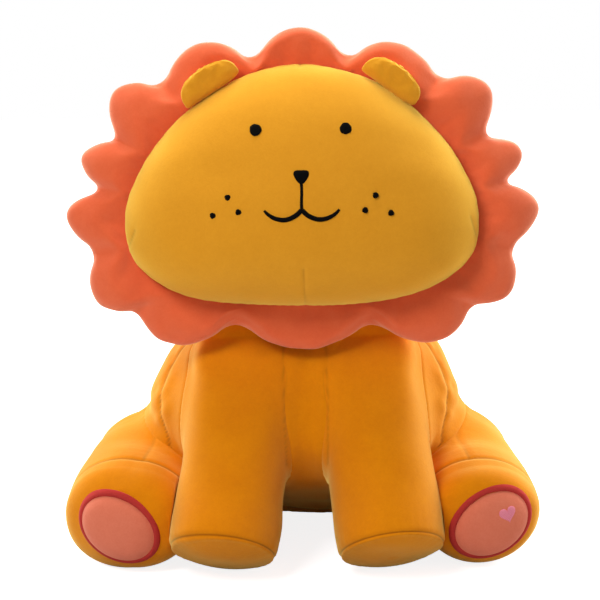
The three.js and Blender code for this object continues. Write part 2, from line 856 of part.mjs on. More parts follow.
function headGroup() {
  const group = new THREE.Group();
  lionHeadFrame.decompose(group.position, group.quaternion, group.scale);
  const neck = neckRoom();
  const reach = faceHalfWidth + overrun;
  const half = gap / 2;
  const front = solid(box([-reach, -reach, -reach], [reach, -half, reach]));
  const behind = (low, high) => solid(box([low, half, -reach], [high, reach, reach]));
  const cover = headForms.fabric.subtract(neck);
  group.add(piece("face_panel", cover.intersect(front), faceGold));
  group.add(piece("head_back_left", cover.intersect(behind(-reach, -half)), gold));
  group.add(piece("head_back_right", cover.intersect(behind(half, reach)), gold));
  group.add(piece("head_filling", headForms.filling.subtract(neck), fibre));
  group.add(piece("mane_front", solid(manePanel(maneShape, 0, -1)), rust));
  group.add(piece("mane_back", solid(manePanel(maneShape, maneSectionShares.length - 1, 1)), rust));
  group.add(piece("mane_filling", solid(swollen(maneShape, -maneFillingInset)), fibre));
  faceThread().forEach((part) => group.add(part));
  group.add(earGroup(-1), earGroup(1));
  return group;
}

function frontLegGroup(side) {
  const frame = frontLegFrame(side);
  const group = new THREE.Group();
  frame.decompose(group.position, group.quaternion, group.scale);
  const word = side < 0 ? "left" : "right";
  const floor = underFloor(frame);
  const length = frontLegLength();
  const reach = 2 * shoulderRadius;
  const upper = solid(box([-reach, -reach, gap / 2 - length], [reach, reach, reach]));
  const lower = solid(box([-reach, -reach, -length - overrun], [reach, reach, -gap / 2 - length]));
  const cover = legForms.fabric.subtract(floor);
  group.add(piece("front_leg_" + word, cover.intersect(upper), gold));
  group.add(piece("front_sole_" + word, cover.intersect(lower), gold));
  group.add(piece("front_leg_filling_" + word, legForms.filling.subtract(floor), fibre));
  return group;
}

function hindLegGroup(side) {
  const frame = hindLegFrame(side);
  const group = new THREE.Group();
  frame.decompose(group.position, group.quaternion, group.scale);
  const word = side < 0 ? "left" : "right";
  const pressed = pressedBy(side);
  const floor = underFloor(frame);
  const cover = hindForms.fabric.subtract(pressed).subtract(floor);
  const reach = 2 * hipRadius;
  const padX = side * padSide;
  const padZ = -footDrop() - padDrop;
  const through = (outline) => solid(prism(outline, hindLegLength + overrun).translate(padX, 0, padZ));
  const thigh = solid(box([-reach, gap / 2 - footSeam, -reach], [reach, reach, reach]));
  const toes = solid(box([-reach, -2 * hindLegLength, -reach], [reach, -gap / 2 - footSeam, reach]));
  const padRoom = through(ovalOutline(padHalfLength + gap, padHalfWidth + gap, side));
  const padPrism = through(ovalOutline(padHalfLength, padHalfWidth, side));
  const welt = solid(padWelt(side, padX, padZ)).subtract(hindForms.room).subtract(pressed).subtract(floor);
  group.add(piece("thigh_" + word, cover.intersect(thigh), gold));
  group.add(piece("foot_" + word, cover.intersect(toes).subtract(padRoom), gold));
  group.add(piece("pad_" + word, cover.intersect(toes).intersect(padPrism), rose));
  group.add(piece("pad_piping_" + word, welt, piping));
  group.add(piece("hind_leg_filling_" + word, hindForms.filling.subtract(pressed).subtract(floor), fibre));
  if (side > 0) {
    const heart = prism(heartOutline(), hindLegLength + overrun);
    const spot = solid(heart.translate(padX + heartSide, 0, padZ + heartRise));
    const thin = solid(swollen(hindForms.form, gap + threadHeight));
    group.add(piece("pad_heart", spot.intersect(toes).intersect(thin).subtract(hindForms.room), pink));
  }
  return group;
}

function tailGroup() {
  const group = new THREE.Group();
  group.position.set(0, tailRootDepth, tailRootHeight);
  group.add(piece("tail", solid(tailForm()), gold));
  group.add(piece("tail_tuft", solid(tuftForm()), rust));
  return group;
}

const toy = new THREE.Group();
toy.add(bodyGroup(), headGroup(), tailGroup());
[-1, 1].forEach((side) => toy.add(frontLegGroup(side), hindLegGroup(side)));
toy.position.y = -seatDepth();

const lion = new THREE.Group();
lion.name = "plush_lion";
lion.add(toy);

export default lion;
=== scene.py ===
# %% [markdown]
# # A seated plush lion
# The toy is sewn from short velvet and stuffed with loose fibre. Its big domed head sits in a padded,
# scalloped mane; two thick front legs stand before a pear-shaped body, and the hind legs lie forward
# and show their foot pads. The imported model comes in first: it fixes where everything is and how it
# moves, and every piece made here is dressed over it.

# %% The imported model
import json
import math
from functools import partial
import bpy
import numpy as np
from mathutils import Matrix, Vector

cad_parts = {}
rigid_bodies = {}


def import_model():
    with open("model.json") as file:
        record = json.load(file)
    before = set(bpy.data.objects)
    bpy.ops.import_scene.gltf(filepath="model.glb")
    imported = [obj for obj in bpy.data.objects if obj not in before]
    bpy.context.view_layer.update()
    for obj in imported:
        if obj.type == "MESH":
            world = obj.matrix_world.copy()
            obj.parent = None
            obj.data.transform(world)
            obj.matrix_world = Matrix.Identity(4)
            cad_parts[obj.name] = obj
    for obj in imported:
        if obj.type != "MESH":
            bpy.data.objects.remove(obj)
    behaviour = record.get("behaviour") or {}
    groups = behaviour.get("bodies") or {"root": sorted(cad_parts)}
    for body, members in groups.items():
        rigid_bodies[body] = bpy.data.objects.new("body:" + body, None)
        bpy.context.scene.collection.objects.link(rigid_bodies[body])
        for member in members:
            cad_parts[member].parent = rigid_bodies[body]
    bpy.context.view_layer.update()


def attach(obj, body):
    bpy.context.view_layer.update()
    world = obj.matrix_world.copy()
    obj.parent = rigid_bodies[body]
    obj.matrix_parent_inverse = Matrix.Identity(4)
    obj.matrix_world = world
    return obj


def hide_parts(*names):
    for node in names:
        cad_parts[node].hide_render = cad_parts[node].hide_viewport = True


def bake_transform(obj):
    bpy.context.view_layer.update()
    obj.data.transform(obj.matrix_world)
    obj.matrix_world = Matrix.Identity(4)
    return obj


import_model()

# %% [markdown]
# ## Sizes
# Soft toys are cut from paper patterns, so a few lengths settle the whole shape. They are kept in
# millimetres, with depths measured from under the middle of the body, and become metres only when a
# mesh is made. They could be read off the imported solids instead, but named sizes let each surface
# below be a smooth formula and not a faceted copy.

# %% Sizes in millimetres
SEAT_MIDDLE = 76.11
BODY_HALF_WIDTH = 123
BODY_HEIGHT = 178
BODY_FRONT = 65
BODY_BACK = 112
NECK_RADIUS = 52
NECK_MIDDLE = np.array([0, 24, 172])

HEAD_MIDDLE = [0, -34, 256.5]
HEAD_PITCH = -10
FACE_HALF_WIDTH = 132
CROWN_RISE = 118
CHIN_DROP = 62.5
FACE_DOME = 58
HEAD_BACK = 92
CROWN_SQUARENESS = 1.75
CHIN_SQUARENESS = 2.55
HEAD_FULLNESS = 2.3

MANE_REACH = 172
MANE_THICKNESS = 23
MANE_SETBACK = 7

SHOULDER = [48, -28, 124]
SHOULDER_RADIUS = 42
FRONT_LEG_RADIUS = 39
FRONT_LEG_LENGTH = 126.4
FRONT_LEG_LEAN = 36
FRONT_LEG_SPLAY = 6.6
SOLE_BULGE = 9

HIP = [114, 20, 47.5]
HIP_RADIUS = 48
HIND_LEG_RADIUS = 45
HIND_LEG_FLATNESS = 0.84
HIND_LEG_LENGTH = 112
HIND_LEG_SPLAY = 10.5
FOOT_SEAM = 76
FOOT_DROP = HIP_RADIUS - HIND_LEG_RADIUS * HIND_LEG_FLATNESS
print("head:", 2 * FACE_HALF_WIDTH, "by", CROWN_RISE + CHIN_DROP, "mm")
print("body:", 2 * BODY_HALF_WIDTH, "by", BODY_HEIGHT, "mm")

# %% [markdown]
# ## Helpers
# A surface here is a grid of points: rings that follow each other from one pole to the other. The
# rings come from a short table of stations, joined by a smooth curve, so that a leg swells and tapers
# without a corner. Sculpting by hand would also do, but a formula can be read, measured and repeated.

# %% Curves, frames and grids
def smooth_curve(stations, count):
    """A Catmull-Rom curve through the stations, sampled evenly from the first to the last."""
    rows = np.asarray(stations, float)
    place = np.linspace(0, len(rows) - 1, count)
    start = np.minimum(place.astype(int), len(rows) - 2)
    part = (place - start)[:, None]
    before, after = rows[np.maximum(start - 1, 0)], rows[np.minimum(start + 2, len(rows) - 1)]
    here, there = rows[start], rows[start + 1]
    slope = there - before
    bend = 2 * before - 5 * here + 4 * there - after
    twist = 3 * here - before - 3 * there + after
    return (2 * here + slope * part + bend * part**2 + twist * part**3) / 2


def signed_power(value, exponent):
    """The size of a number raised to a power, with its own sign kept."""
    return np.sign(value) * np.abs(value) ** exponent


def frame_at(place, turns):
    """A rotation about X, then Y, then Z of the turned frame, and the place of its origin."""
    about = [Matrix.Rotation(math.radians(turn), 3, axis) for turn, axis in zip(turns, "XYZ")]
    return np.array(about[0] @ about[1] @ about[2]), np.array(place, float)


def out_of(points, local):
    """Points of a local frame in the toy's own frame."""
    rotation, place = local
    return points @ rotation.T + place


def into(points, local):
    """Points of the toy's own frame in a local frame."""
    rotation, place = local
    return (points - place) @ rotation


def angles(count):
    """Evenly spaced angles round a circle, without the last one."""
    return np.arange(count) * (2 * np.pi / count)


def unit(vectors):
    """Vectors brought to a length of 1."""
    return vectors / np.maximum(np.linalg.norm(vectors, axis=-1, keepdims=True), 1e-9)


def points_of(x, y, z):
    """One array of points from three coordinates, each spread to the shape that they share."""
    return np.stack(np.broadcast_arrays(x, y, z), -1)


def outward(grid):
    """Unit normals of a grid of rings, from the cross product of the two directions of the grid."""
    along = np.gradient(grid, axis=0)
    around = np.roll(grid, -1, axis=1) - np.roll(grid, 1, axis=1)
    return unit(np.cross(around, along))


def pushed(grid, height):
    """A grid moved along its outward normals by the height at each point."""
    return grid + outward(grid) * height[..., None]


def on_floor(grid):
    """A grid whose points below the floor are raised onto it."""
    grid[..., 2] = np.maximum(grid[..., 2], 0)
    return grid


def smoothstep(low, high, value):
    """A soft switch: 0 below low, 1 above high, and a cubic between them."""
    part = np.clip((value - low) / (high - low), 0, 1)
    return part * part * (3 - 2 * part)


# %% [markdown]
# Loose fibre never fills a cover quite evenly. A sum of a few slow waves in seeded directions gives low
# lumps: one field of them for the torso and its legs, so that the lumps run on from one to the other,
# and one for each other form. A displacement texture could do the same, but the waves give the same
# result in every run and in every program that reads the mesh.

# %% Lumps of the filling
WAVES = 7
BODY_LUMPS = [(1.2, 95, 3), (0.45, 34, 4)]
FACE_LUMPS = [(0.7, 110, 51), (0.25, 36, 52)]
HEAD_BACK_LUMPS = [(1.1, 100, 61), (0.4, 34, 62)]
MANE_LUMPS = [(0.9, 60, 71), (0.35, 22, 72)]
EAR_LUMPS = [(0.4, 18, 81)]
TAIL_LUMPS = [(0.4, 26, 91)]


def slow_waves(points, size, seed):
    """The sum of a few sine waves in seeded directions, each about one size long, scaled to about 1."""
    draw = np.random.default_rng(seed)
    directions = unit(draw.normal(size=(WAVES, 3)))
    lengths = size * draw.uniform(0.7, 1.5, WAVES)
    phases = draw.uniform(0, 2 * np.pi, WAVES)
    total = sum(
        np.sin(2 * np.pi * (points @ direction) / length + phase)
        for direction, length, phase in zip(directions, lengths, phases)
    )
    return total / math.sqrt(WAVES)


def lumps(points, rows):
    """The sum of fields of slow waves, each times its height; a row is a height, a size and a seed."""
    return sum(height * slow_waves(points, size, seed) for height, size, seed in rows)


# %% [markdown]
# A seam holds the fabric down along a line, and the spare cloth beside it gathers in small puckers.
# Both are pressed into the mesh as a height along the normal, because a seam that is only painted on
# disappears as soon as the light comes from the side. A mask on the same line darkens the stitches.

# %% Seams
SEAM_DEPTH = 1.1
SEAM_WIDTH = 1.9
SEAM_LINE = 0.8
PUCKER_HEIGHT = 0.28
PUCKER_LENGTH = 7.5
PUCKER_REACH = 9
PUCKER_DRIFT = 1.7
PUCKER_DRIFT_LENGTH = 11
STITCH_SHADE = 0.8


def seam_press(distance, along, depth=SEAM_DEPTH, puckers=1.0):
    """How far a seam moves the cloth: a bell-shaped groove, and waves along it that fade sideways."""
    groove = np.exp(-((distance / SEAM_WIDTH) ** 2))
    wave = np.sin(2 * np.pi * along / PUCKER_LENGTH + PUCKER_DRIFT * np.sin(along / PUCKER_DRIFT_LENGTH))
    fade = np.exp(-np.abs(distance) / PUCKER_REACH) * (1 - groove)
    return puckers * PUCKER_HEIGHT * wave * fade - depth * groove


def seam_mask(distance):
    """Strongest on the stitched line and 0 a few millimetres away, for the material."""
    return STITCH_SHADE * np.exp(-((distance / SEAM_LINE) ** 2))


# %% [markdown]
# ## From grids to pieces
# `closed_shell` turns the rings into one closed mesh whose faces point outwards. The seam mask goes
# with it as a point attribute, which a material can read without any UV map.

# %% Meshes
def in_scene(name, data):
    """An object of the scene that holds the data."""
    thing = bpy.data.objects.new(name, data)
    bpy.context.scene.collection.objects.link(thing)
    return thing


def new_piece(name, points, faces, mask):
    """A smooth-shaded mesh object at the origin, from points in millimetres and a seam mask."""
    metres = (points - [0, SEAT_MIDDLE, 0]) / 1000
    mesh = bpy.data.meshes.new(name)
    mesh.from_pydata(metres.tolist(), [], faces)
    mesh.polygons.foreach_set("use_smooth", np.ones(len(mesh.polygons), bool))
    mesh.attributes.new("seam", "FLOAT", "POINT").data.foreach_set("value", mask.astype(np.float32))
    return in_scene(name, mesh)


def closed_shell(name, grid, ends, mask=0.0):
    """Quads between neighbouring rings and a fan of triangles from each pole to the ring beside it."""
    count, around, _ = grid.shape
    points = np.concatenate([ends[:1], grid.reshape(-1, 3), ends[1:]])
    step = np.arange(around)
    after = (step + 1) % around
    start = 1 + around * np.arange(count - 1)[:, None]
    quads = np.stack([start + step, start + after, start + around + after, start + around + step], -1)
    final = 1 + around * (count - 1)
    low = np.stack([0 * step, 1 + after, 1 + step], -1)
    high = np.stack([final + step, final + after, 0 * step + len(points) - 1], -1)
    faces = quads.reshape(-1, 4).tolist() + low.tolist() + high.tolist()
    values = np.zeros(len(points))
    values[1:-1] = np.broadcast_to(mask, (count, around)).reshape(-1)
    return new_piece(name, points, faces, values)


def ring_tube(name, grid, mask=0.0):
    """Quads between neighbouring sections of a tube whose two ends are joined."""
    count, across, _ = grid.shape
    here, point = np.meshgrid(np.arange(count), np.arange(across), indexing="ij")
    after, beside = (here + 1) % count, (point + 1) % across
    corners = ((here, point), (after, point), (after, beside), (here, beside))
    quads = np.stack([ring * across + place for ring, place in corners], -1).reshape(-1, 4)
    values = np.broadcast_to(mask, (count, across)).reshape(-1)
    return new_piece(name, grid.reshape(-1, 3), quads.tolist(), values)


def volume(piece):
    """The volume in millilitres; it is positive only if the faces point outwards."""
    mesh = piece.data
    mesh.calc_loop_triangles()
    corners = np.empty(len(mesh.loop_triangles) * 3, int)
    mesh.loop_triangles.foreach_get("vertices", corners)
    places = np.empty(len(mesh.vertices) * 3)
    mesh.vertices.foreach_get("co", places)
    a, b, c = np.moveaxis(places.reshape(-1, 3)[corners.reshape(-1, 3)], 1, 0)
    return np.einsum("ij,ij->", a, np.cross(b, c)) / 6 * 1e6


def dress(piece, body, slot, nodes):
    """Gives a piece the material of its slot, hides the imported nodes that it stands for, and sets it on the
    body that it rides on.
    """
    piece.data.materials.append(materials[slot])
    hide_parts(*nodes)
    if body:
        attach(piece, body)
    low, high = np.array(piece.bound_box).min(0), np.array(piece.bound_box).max(0)
    size = np.round((high - low) * 1000)
    print(piece.name, len(piece.data.polygons), "faces,", size, "mm,", round(volume(piece), 2), "ml")


materials = {}
SIDES = (("left", -1), ("right", 1))

# %% [markdown]
# The fibre inside presses on the cover from all sides, and the seams hold it. Blender's cloth solver
# works that out on a coarse copy of a grid: pressure from inside, no gravity, and the points of the
# seams held where they are. Only the moves are kept, capped and smoothed over the fine grid, so that
# the seams and the pile can be worked in afterwards. The solver draws nothing at random, so every run
# gives the same cushion.

# %% Cloth simulation
SIMULATED_FRAMES = 20
CLOTH = {
    "quality": 6,
    "mass": 0.15,
    "tension_stiffness": 12,
    "compression_stiffness": 12,
    "shear_stiffness": 4,
    "bending_stiffness": 0.15,
    "use_pressure": True,
    "vertex_group_mass": "held",
}


def simulate(piece, held, pressure, ease):
    """Runs the cloth solver on a mesh and returns how far each point went, in millimetres.

    Ease is the share by which the cloth is cut larger than the shape that it starts from.
    """
    piece.vertex_groups.new(name="held").add(np.flatnonzero(held).tolist(), 1.0, "REPLACE")
    cloth = piece.modifiers.new("Cloth", "CLOTH")
    for name, value in CLOTH.items():
        setattr(cloth.settings, name, value)
    cloth.settings.uniform_pressure_force = pressure
    cloth.settings.effector_weights.gravity = 0
    cloth.settings.shrink_min = -ease
    cloth.point_cache.frame_end = SIMULATED_FRAMES
    for step in range(1, SIMULATED_FRAMES + 1):
        bpy.context.scene.frame_set(step)
    mesh = piece.data
    moved = piece.evaluated_get(bpy.context.evaluated_depsgraph_get()).data
    start, end = np.empty(len(held) * 3), np.empty(len(held) * 3)
    mesh.vertices.foreach_get("co", start)
    moved.vertices.foreach_get("co", end)
    bpy.data.objects.remove(piece)
    bpy.data.meshes.remove(mesh)
    bpy.context.scene.frame_set(1)
    return (end - start).reshape(-1, 3) * 1000


def spread_over(field, count, axis, wrapped):
    """A field on coarse points, carried to more points along one axis, which may close on itself."""
    size = field.shape[axis]
    place = np.arange(count) * (size / count) if wrapped else np.linspace(0, size - 1, count)
    low = np.minimum(place.astype(int), size - 1)
    high = (low + 1) % size if wrapped else np.minimum(low + 1, size - 1)
    part = np.expand_dims(place - low, [other for other in range(field.ndim) if other != axis])
    field = np.take(field, low, axis) * (1 - part) + np.take(field, high, axis) * part
    for _ in range(2):
        before, after = np.roll(field, 1, axis), np.roll(field, -1, axis)
        if not wrapped:
            edges = [slice(None)] * field.ndim
            edges[axis] = [0, -1]
            before[tuple(edges)] = after[tuple(edges)] = field[tuple(edges)]
        field = (before + 2 * field + after) / 4
    return field


def inflated(grid, held, skip, ends=None, pressure=6, ease=0.02, cap=5):
    """A grid after its coarse copy, of every skip-th point, has been blown up as cloth.

    No point moves further than the cap. A stack of rings closes on itself round each ring, and a tube
    without ends along its length.
    """
    closed = (ends is None, ends is not None)
    picks = [
        np.arange(0, size, skip) if wrapped else np.linspace(0, size - 1, size // skip).round().astype(int)
        for size, wrapped in zip(grid.shape, closed)
    ]
    coarse, fixed = grid[np.ix_(*picks)], held[np.ix_(*picks)]
    if ends is None:
        moves = simulate(ring_tube("cloth", coarse), fixed.reshape(-1), pressure, ease)
    else:
        fixed = np.concatenate([[True], fixed.reshape(-1), [True]])
        moves = simulate(closed_shell("cloth", coarse, ends), fixed, pressure, ease)[1:-1]
    length = np.linalg.norm(moves, axis=-1, keepdims=True)
    moves = (moves * np.minimum(1, cap / np.maximum(length, 1e-6))).reshape(coarse.shape)
    for axis, wrapped in enumerate(closed):
        moves = spread_over(moves, grid.shape[axis], axis, wrapped)
    length = np.linalg.norm(moves, axis=-1)
    print("cloth of", coarse.shape[:2], f"points: moved {length.mean():.1f} mm, at most {length.max():.1f}")
    return grid + moves

# %% [markdown]
# ## Velvet
# Short velvet scatters light at its upright pile: the face of the cloth looks matt and deep, and its
# edges glow where the pile is seen from the side. Real strands would be truer, but there would be
# millions of them; a Principled BSDF with sheen gives the same glow. The cloth is never one colour:
# the pile leans this way and that, in broad soft patches and in a fine grain, which one node group
# makes for all the velvets.

# %% Shader nodes
# A Mix node has sockets for each type of value; these are the numbers of those for colours.
COLOUR_FACTOR, COLOUR_A, COLOUR_B, COLOUR_RESULT = 0, 6, 7, 2


def set_inputs(tree, node, values):
    """Gives a node's inputs, by label or number, a value of their own or a socket to follow."""
    for label, value in values.items():
        if isinstance(value, bpy.types.NodeSocket):
            tree.links.new(value, node.inputs[label])
        else:
            node.inputs[label].default_value = value


def add_node(tree, kind, values, **settings):
    """One shader node with its settings and inputs; returns its outputs."""
    node = tree.nodes.new("ShaderNode" + kind)
    for name, setting in settings.items():
        setattr(node, name, setting)
    set_inputs(tree, node, values)
    return node.outputs


def math_node(tree, operation, first, second, clamp=False):
    """One Math node, whose operands may be numbers or sockets."""
    return add_node(tree, "Math", {0: first, 1: second}, operation=operation, use_clamp=clamp)[0]


def weighed(tree, first, first_share, second, second_share):
    """The sum of two sockets, each times its share."""
    parts = (math_node(tree, "MULTIPLY", *pair) for pair in ((first, first_share), (second, second_share)))
    return math_node(tree, "ADD", *parts)


def colour_mix(tree, factor, first, second):
    """Mixes two colours, which may be values or sockets, by a factor."""
    values = {COLOUR_FACTOR: factor, COLOUR_A: first, COLOUR_B: second}
    return add_node(tree, "Mix", values, data_type="RGBA")[COLOUR_RESULT]


def new_material(name):
    """A material with its tree of nodes and the Principled BSDF in it."""
    material = bpy.data.materials.new(name)
    material.use_nodes = True
    return material, material.node_tree, material.node_tree.nodes["Principled BSDF"]


# %% The pile group
GRAINS_PER_METRE = 620
TUFTS_PER_METRE = 210
PATCHES_PER_METRE = 34
SWELLS_PER_METRE = 9
FINE_SHARE, COARSE_SHARE = 0.65, 0.35
SPECKLE_STRENGTH = 0.9


def new_group(name, inputs, outputs):
    """An empty shader group with float inputs, and float outputs, of the names given."""
    group = bpy.data.node_groups.new(name, "ShaderNodeTree")
    for label, value in inputs.items():
        group.interface.new_socket(label, in_out="INPUT", socket_type="NodeSocketFloat").default_value = value
    for label in outputs:
        group.interface.new_socket(label, in_out="OUTPUT", socket_type="NodeSocketFloat")
    return group, group.nodes.new("NodeGroupInput").outputs, group.nodes.new("NodeGroupOutput")


def noise(tree, place, per_metre, detail, roughness=0.5):
    """Noise over a socket's places, with so many features in a metre."""
    values = {"Vector": place, "Scale": per_metre, "Detail": detail, "Roughness": roughness}
    return add_node(tree, "TexNoise", values)["Fac"]


pile, pile_in, pile_out = new_group("Pile", {"Patches": 1.0}, ["Height", "Nap"])
place = add_node(pile, "TexCoord", {})["Object"]
grain, tufts = noise(pile, place, GRAINS_PER_METRE, 3.0, 0.65), noise(pile, place, TUFTS_PER_METRE, 2.0)
patches, swells = noise(pile, place, PATCHES_PER_METRE, 3.0, 0.6), noise(pile, place, SWELLS_PER_METRE, 1.0)
height = weighed(pile, grain, FINE_SHARE, tufts, COARSE_SHARE)
broad = weighed(pile, patches, FINE_SHARE, swells, COARSE_SHARE)
centred = math_node(pile, "MULTIPLY", math_node(pile, "SUBTRACT", broad, 0.5), pile_in["Patches"])
speckle = math_node(pile, "MULTIPLY", math_node(pile, "SUBTRACT", height, 0.5), SPECKLE_STRENGTH)
nap = math_node(pile, "ADD", math_node(pile, "ADD", centred, speckle), 0.5, clamp=True)
set_inputs(pile, pile_out, {"Height": height, "Nap": nap})
print("pile group:", len(pile.nodes), "nodes")


# %% Colours and velvet
PILE_HEIGHT = 0.45
PILE_BUMP = 0.5
NAP_ROUGHNESS, LEAST_ROUGHNESS = 0.12, 0.82


def linear(colour):
    """A screen colour, from 0 to 255, as the linear light that shaders work in."""
    share = np.array(colour) / 255
    light = np.where(share <= 0.04045, share / 12.92, ((share + 0.055) / 1.055) ** 2.4)
    return (*light.tolist(), 1.0)


def velvet(name, deep, bright, seam, tint, sheen=1.0, patches=1.0, spread=0.45):
    """Velvet between a deep and a bright tone, darker along its seams, with a sheen on its edges."""
    material, tree, shader = new_material(name)
    group = add_node(tree, "Group", {"Patches": patches}, node_tree=pile)
    line = add_node(tree, "Attribute", {}, attribute_name="seam")["Fac"]
    cloth = colour_mix(tree, group["Nap"], linear(deep), linear(bright))
    rough = math_node(tree, "MULTIPLY", group["Nap"], NAP_ROUGHNESS)
    bump = {"Strength": PILE_BUMP, "Distance": PILE_HEIGHT / 1000, "Height": group["Height"]}
    values = {
        "Base Color": colour_mix(tree, line, cloth, linear(seam)),
        "Roughness": math_node(tree, "ADD", rough, LEAST_ROUGHNESS),
        "Normal": add_node(tree, "Bump", bump)["Normal"],
        "Specular IOR Level": 0.05,
        "Sheen Weight": sheen,
        "Sheen Roughness": spread,
        "Sheen Tint": linear(tint),
    }
    set_inputs(tree, shader, values)
    return material


GOLD = [(216, 117, 0), (238, 146, 6), (140, 66, 4), (255, 234, 140)]
PALE_GOLD = [(218, 138, 22), (236, 159, 36), (160, 84, 10), (255, 244, 120)]
RUST = [(228, 85, 43), (241, 108, 62), (140, 40, 18), (255, 230, 200)]
ROSE = [(220, 108, 78), (234, 132, 102), (150, 60, 44), (255, 200, 180)]
DARK_RED = [(170, 46, 42), (192, 60, 54), (120, 24, 20), (255, 150, 140)]

materials["gold_velvet"] = velvet("Gold velvet", *GOLD)
materials["face_velvet"] = velvet("Face velvet", *PALE_GOLD, patches=0.6, spread=0.55)
materials["rust_velvet"] = velvet("Rust velvet", *RUST, spread=0.55)
materials["pad_velvet"] = velvet("Rose velvet", *ROSE)
materials["welt_cloth"] = velvet("Welt cloth", *DARK_RED, sheen=0.3)
print("velvets:", ", ".join(materials))

# %% [markdown]
# ## Thread
# The eyes, nose, mouth and freckles are satin stitch: shiny polyester thread laid side by side. Thread
# reflects in streaks across its strands, so fine bands go into the bump, and the colour is lighter on
# the same bands as a painted highlight. The roughness is lower than the velvet's.

# %% Stitched thread
STRANDS_PER_METRE = 1400
WAVES_PER_SCALE = 20
STRAND_WANDER = 1.5
THREAD_BUMP = 0.4
STRAND_HEIGHT = 0.2


def stitched_thread(name, deep, bright, roughness, gloss):
    """Glossy thread with fine parallel strands from a wave texture, and a painted highlight along them."""
    material, tree, shader = new_material(name)
    place = add_node(tree, "TexCoord", {})["Object"]
    scale = 2 * math.pi * STRANDS_PER_METRE / WAVES_PER_SCALE
    values = {"Vector": place, "Scale": scale, "Distortion": STRAND_WANDER}
    strands = add_node(tree, "TexWave", values, bands_direction="DIAGONAL")["Fac"]
    bump = {"Strength": THREAD_BUMP, "Distance": STRAND_HEIGHT / 1000, "Height": strands}
    # Painted highlight: the colour turns from the deep to the bright tone where the strand bands are high.
    values = {
        "Base Color": colour_mix(tree, strands, linear(deep), linear(bright)),
        "Roughness": roughness,
        "Normal": add_node(tree, "Bump", bump)["Normal"],
        "Specular IOR Level": gloss,
    }
    set_inputs(tree, shader, values)
    return material


materials["black_thread"] = stitched_thread("Black thread", (2, 2, 2), (9, 8, 8), 0.7, 0.03)
materials["heart_thread"] = stitched_thread("Heart thread", (232, 122, 142), (244, 152, 168), 0.7, 0.1)
print("materials:", ", ".join(materials))

# %% [markdown]
# ## Where forms meet
# A leg doesn't stick out of the body like a pipe out of a wall: the cover runs on from one to the
# other in a soft hollow. Two forms are joined so by pushing each of them outwards near the other, by
# an amount that grows as their surfaces draw near. That needs a quick measure of the distance to
# each form, which the next functions give.

# %% The body's own shape
BODY_STATION_SHARES = [
    [0, 0.6, -0.86, 0.86],
    [0.067, 0.78, -0.58, 0.94],
    [0.169, 0.92, 0.02, 0.98],
    [0.29, 0.99, 0.62, 1],
    [0.41, 1, 0.9, 0.98],
    [0.55, 0.985, 1, 0.91],
    [0.69, 0.93, 0.9, 0.83],
    [0.82, 0.83, 0.64, 0.76],
    [0.92, 0.69, 0.4, 0.71],
    [1, 0.52, 0.33, 0.67],
]
NECK_ANGLES = np.radians([70, 47, 23, 8])
BODY_SQUARENESS = 2.2
BODY_RINGS = 210
BODY_AROUND = 264
LEAST_LEVEL = 0.05

shares = np.array(BODY_STATION_SHARES) * [BODY_HEIGHT, BODY_HALF_WIDTH, -BODY_FRONT, BODY_BACK]
neck = np.stack(
    [
        NECK_MIDDLE[2] + NECK_RADIUS * np.cos(NECK_ANGLES),
        NECK_RADIUS * np.sin(NECK_ANGLES),
        NECK_MIDDLE[1] - NECK_RADIUS * np.sin(NECK_ANGLES),
        NECK_MIDDLE[1] + NECK_RADIUS * np.sin(NECK_ANGLES),
    ],
    -1,
)
body_profile = smooth_curve(np.concatenate([shares, neck]), BODY_RINGS)
print("body profile:", len(body_profile), "sections up to", round(body_profile[-1, 0]), "mm")


def body_distance(points):
    """About how far points lie outside the body: along the ray from the middle of the section there."""
    heights, *columns = body_profile.T
    half_width, low, high = (np.interp(points[..., 2], heights, column) for column in columns)
    depth = points[..., 1] - (low + high) / 2
    level = np.abs(points[..., 0] / half_width) ** BODY_SQUARENESS
    level = (level + np.abs(2 * depth / (high - low)) ** BODY_SQUARENESS) ** (1 / BODY_SQUARENESS)
    reach = np.hypot(points[..., 0], depth)
    return reach * (1 - 1 / np.maximum(level, LEAST_LEVEL))


# %% The legs' own shapes
FRONT_LEG_SECTIONS, HIND_LEG_SECTIONS = 90, 150
FRONT_LEG_STATIONS = [
    [-1.02, 0.93],
    [-1, 1],
    [-0.9, 1.035],
    [-0.7, 1.02],
    [-0.45, 1.02],
    [-0.22, 1.05],
    [0, SHOULDER_RADIUS / FRONT_LEG_RADIUS],
    [0.18, 1.09],
]
SHOULDER_RISE = FRONT_LEG_STATIONS[-1][0] * FRONT_LEG_LENGTH
HIND_LEG_STATIONS = [
    [1, 0.12],
    [0.985, 0.5],
    [0.95, 0.78],
    [0.88, 0.94],
    [0.76, 1.01],
    [0.55, 1.07],
    [0.35, 1.11],
]
HIP_ANGLES = np.radians([15, -15, -45, -70, -84])
SHOULDER_ANGLES = np.radians([32, 62, 82])


def front_leg_frame(side):
    """+Z runs up the leg, from the sole to the shoulder at its origin."""
    return frame_at([side * SHOULDER[0], *SHOULDER[1:]], [-FRONT_LEG_LEAN, -side * FRONT_LEG_SPLAY, 0])


def hind_leg_frame(side):
    """-Y runs along the leg, from the hip at its origin to the toes."""
    return frame_at([side * HIP[0], *HIP[1:]], [0, 0, side * HIND_LEG_SPLAY])


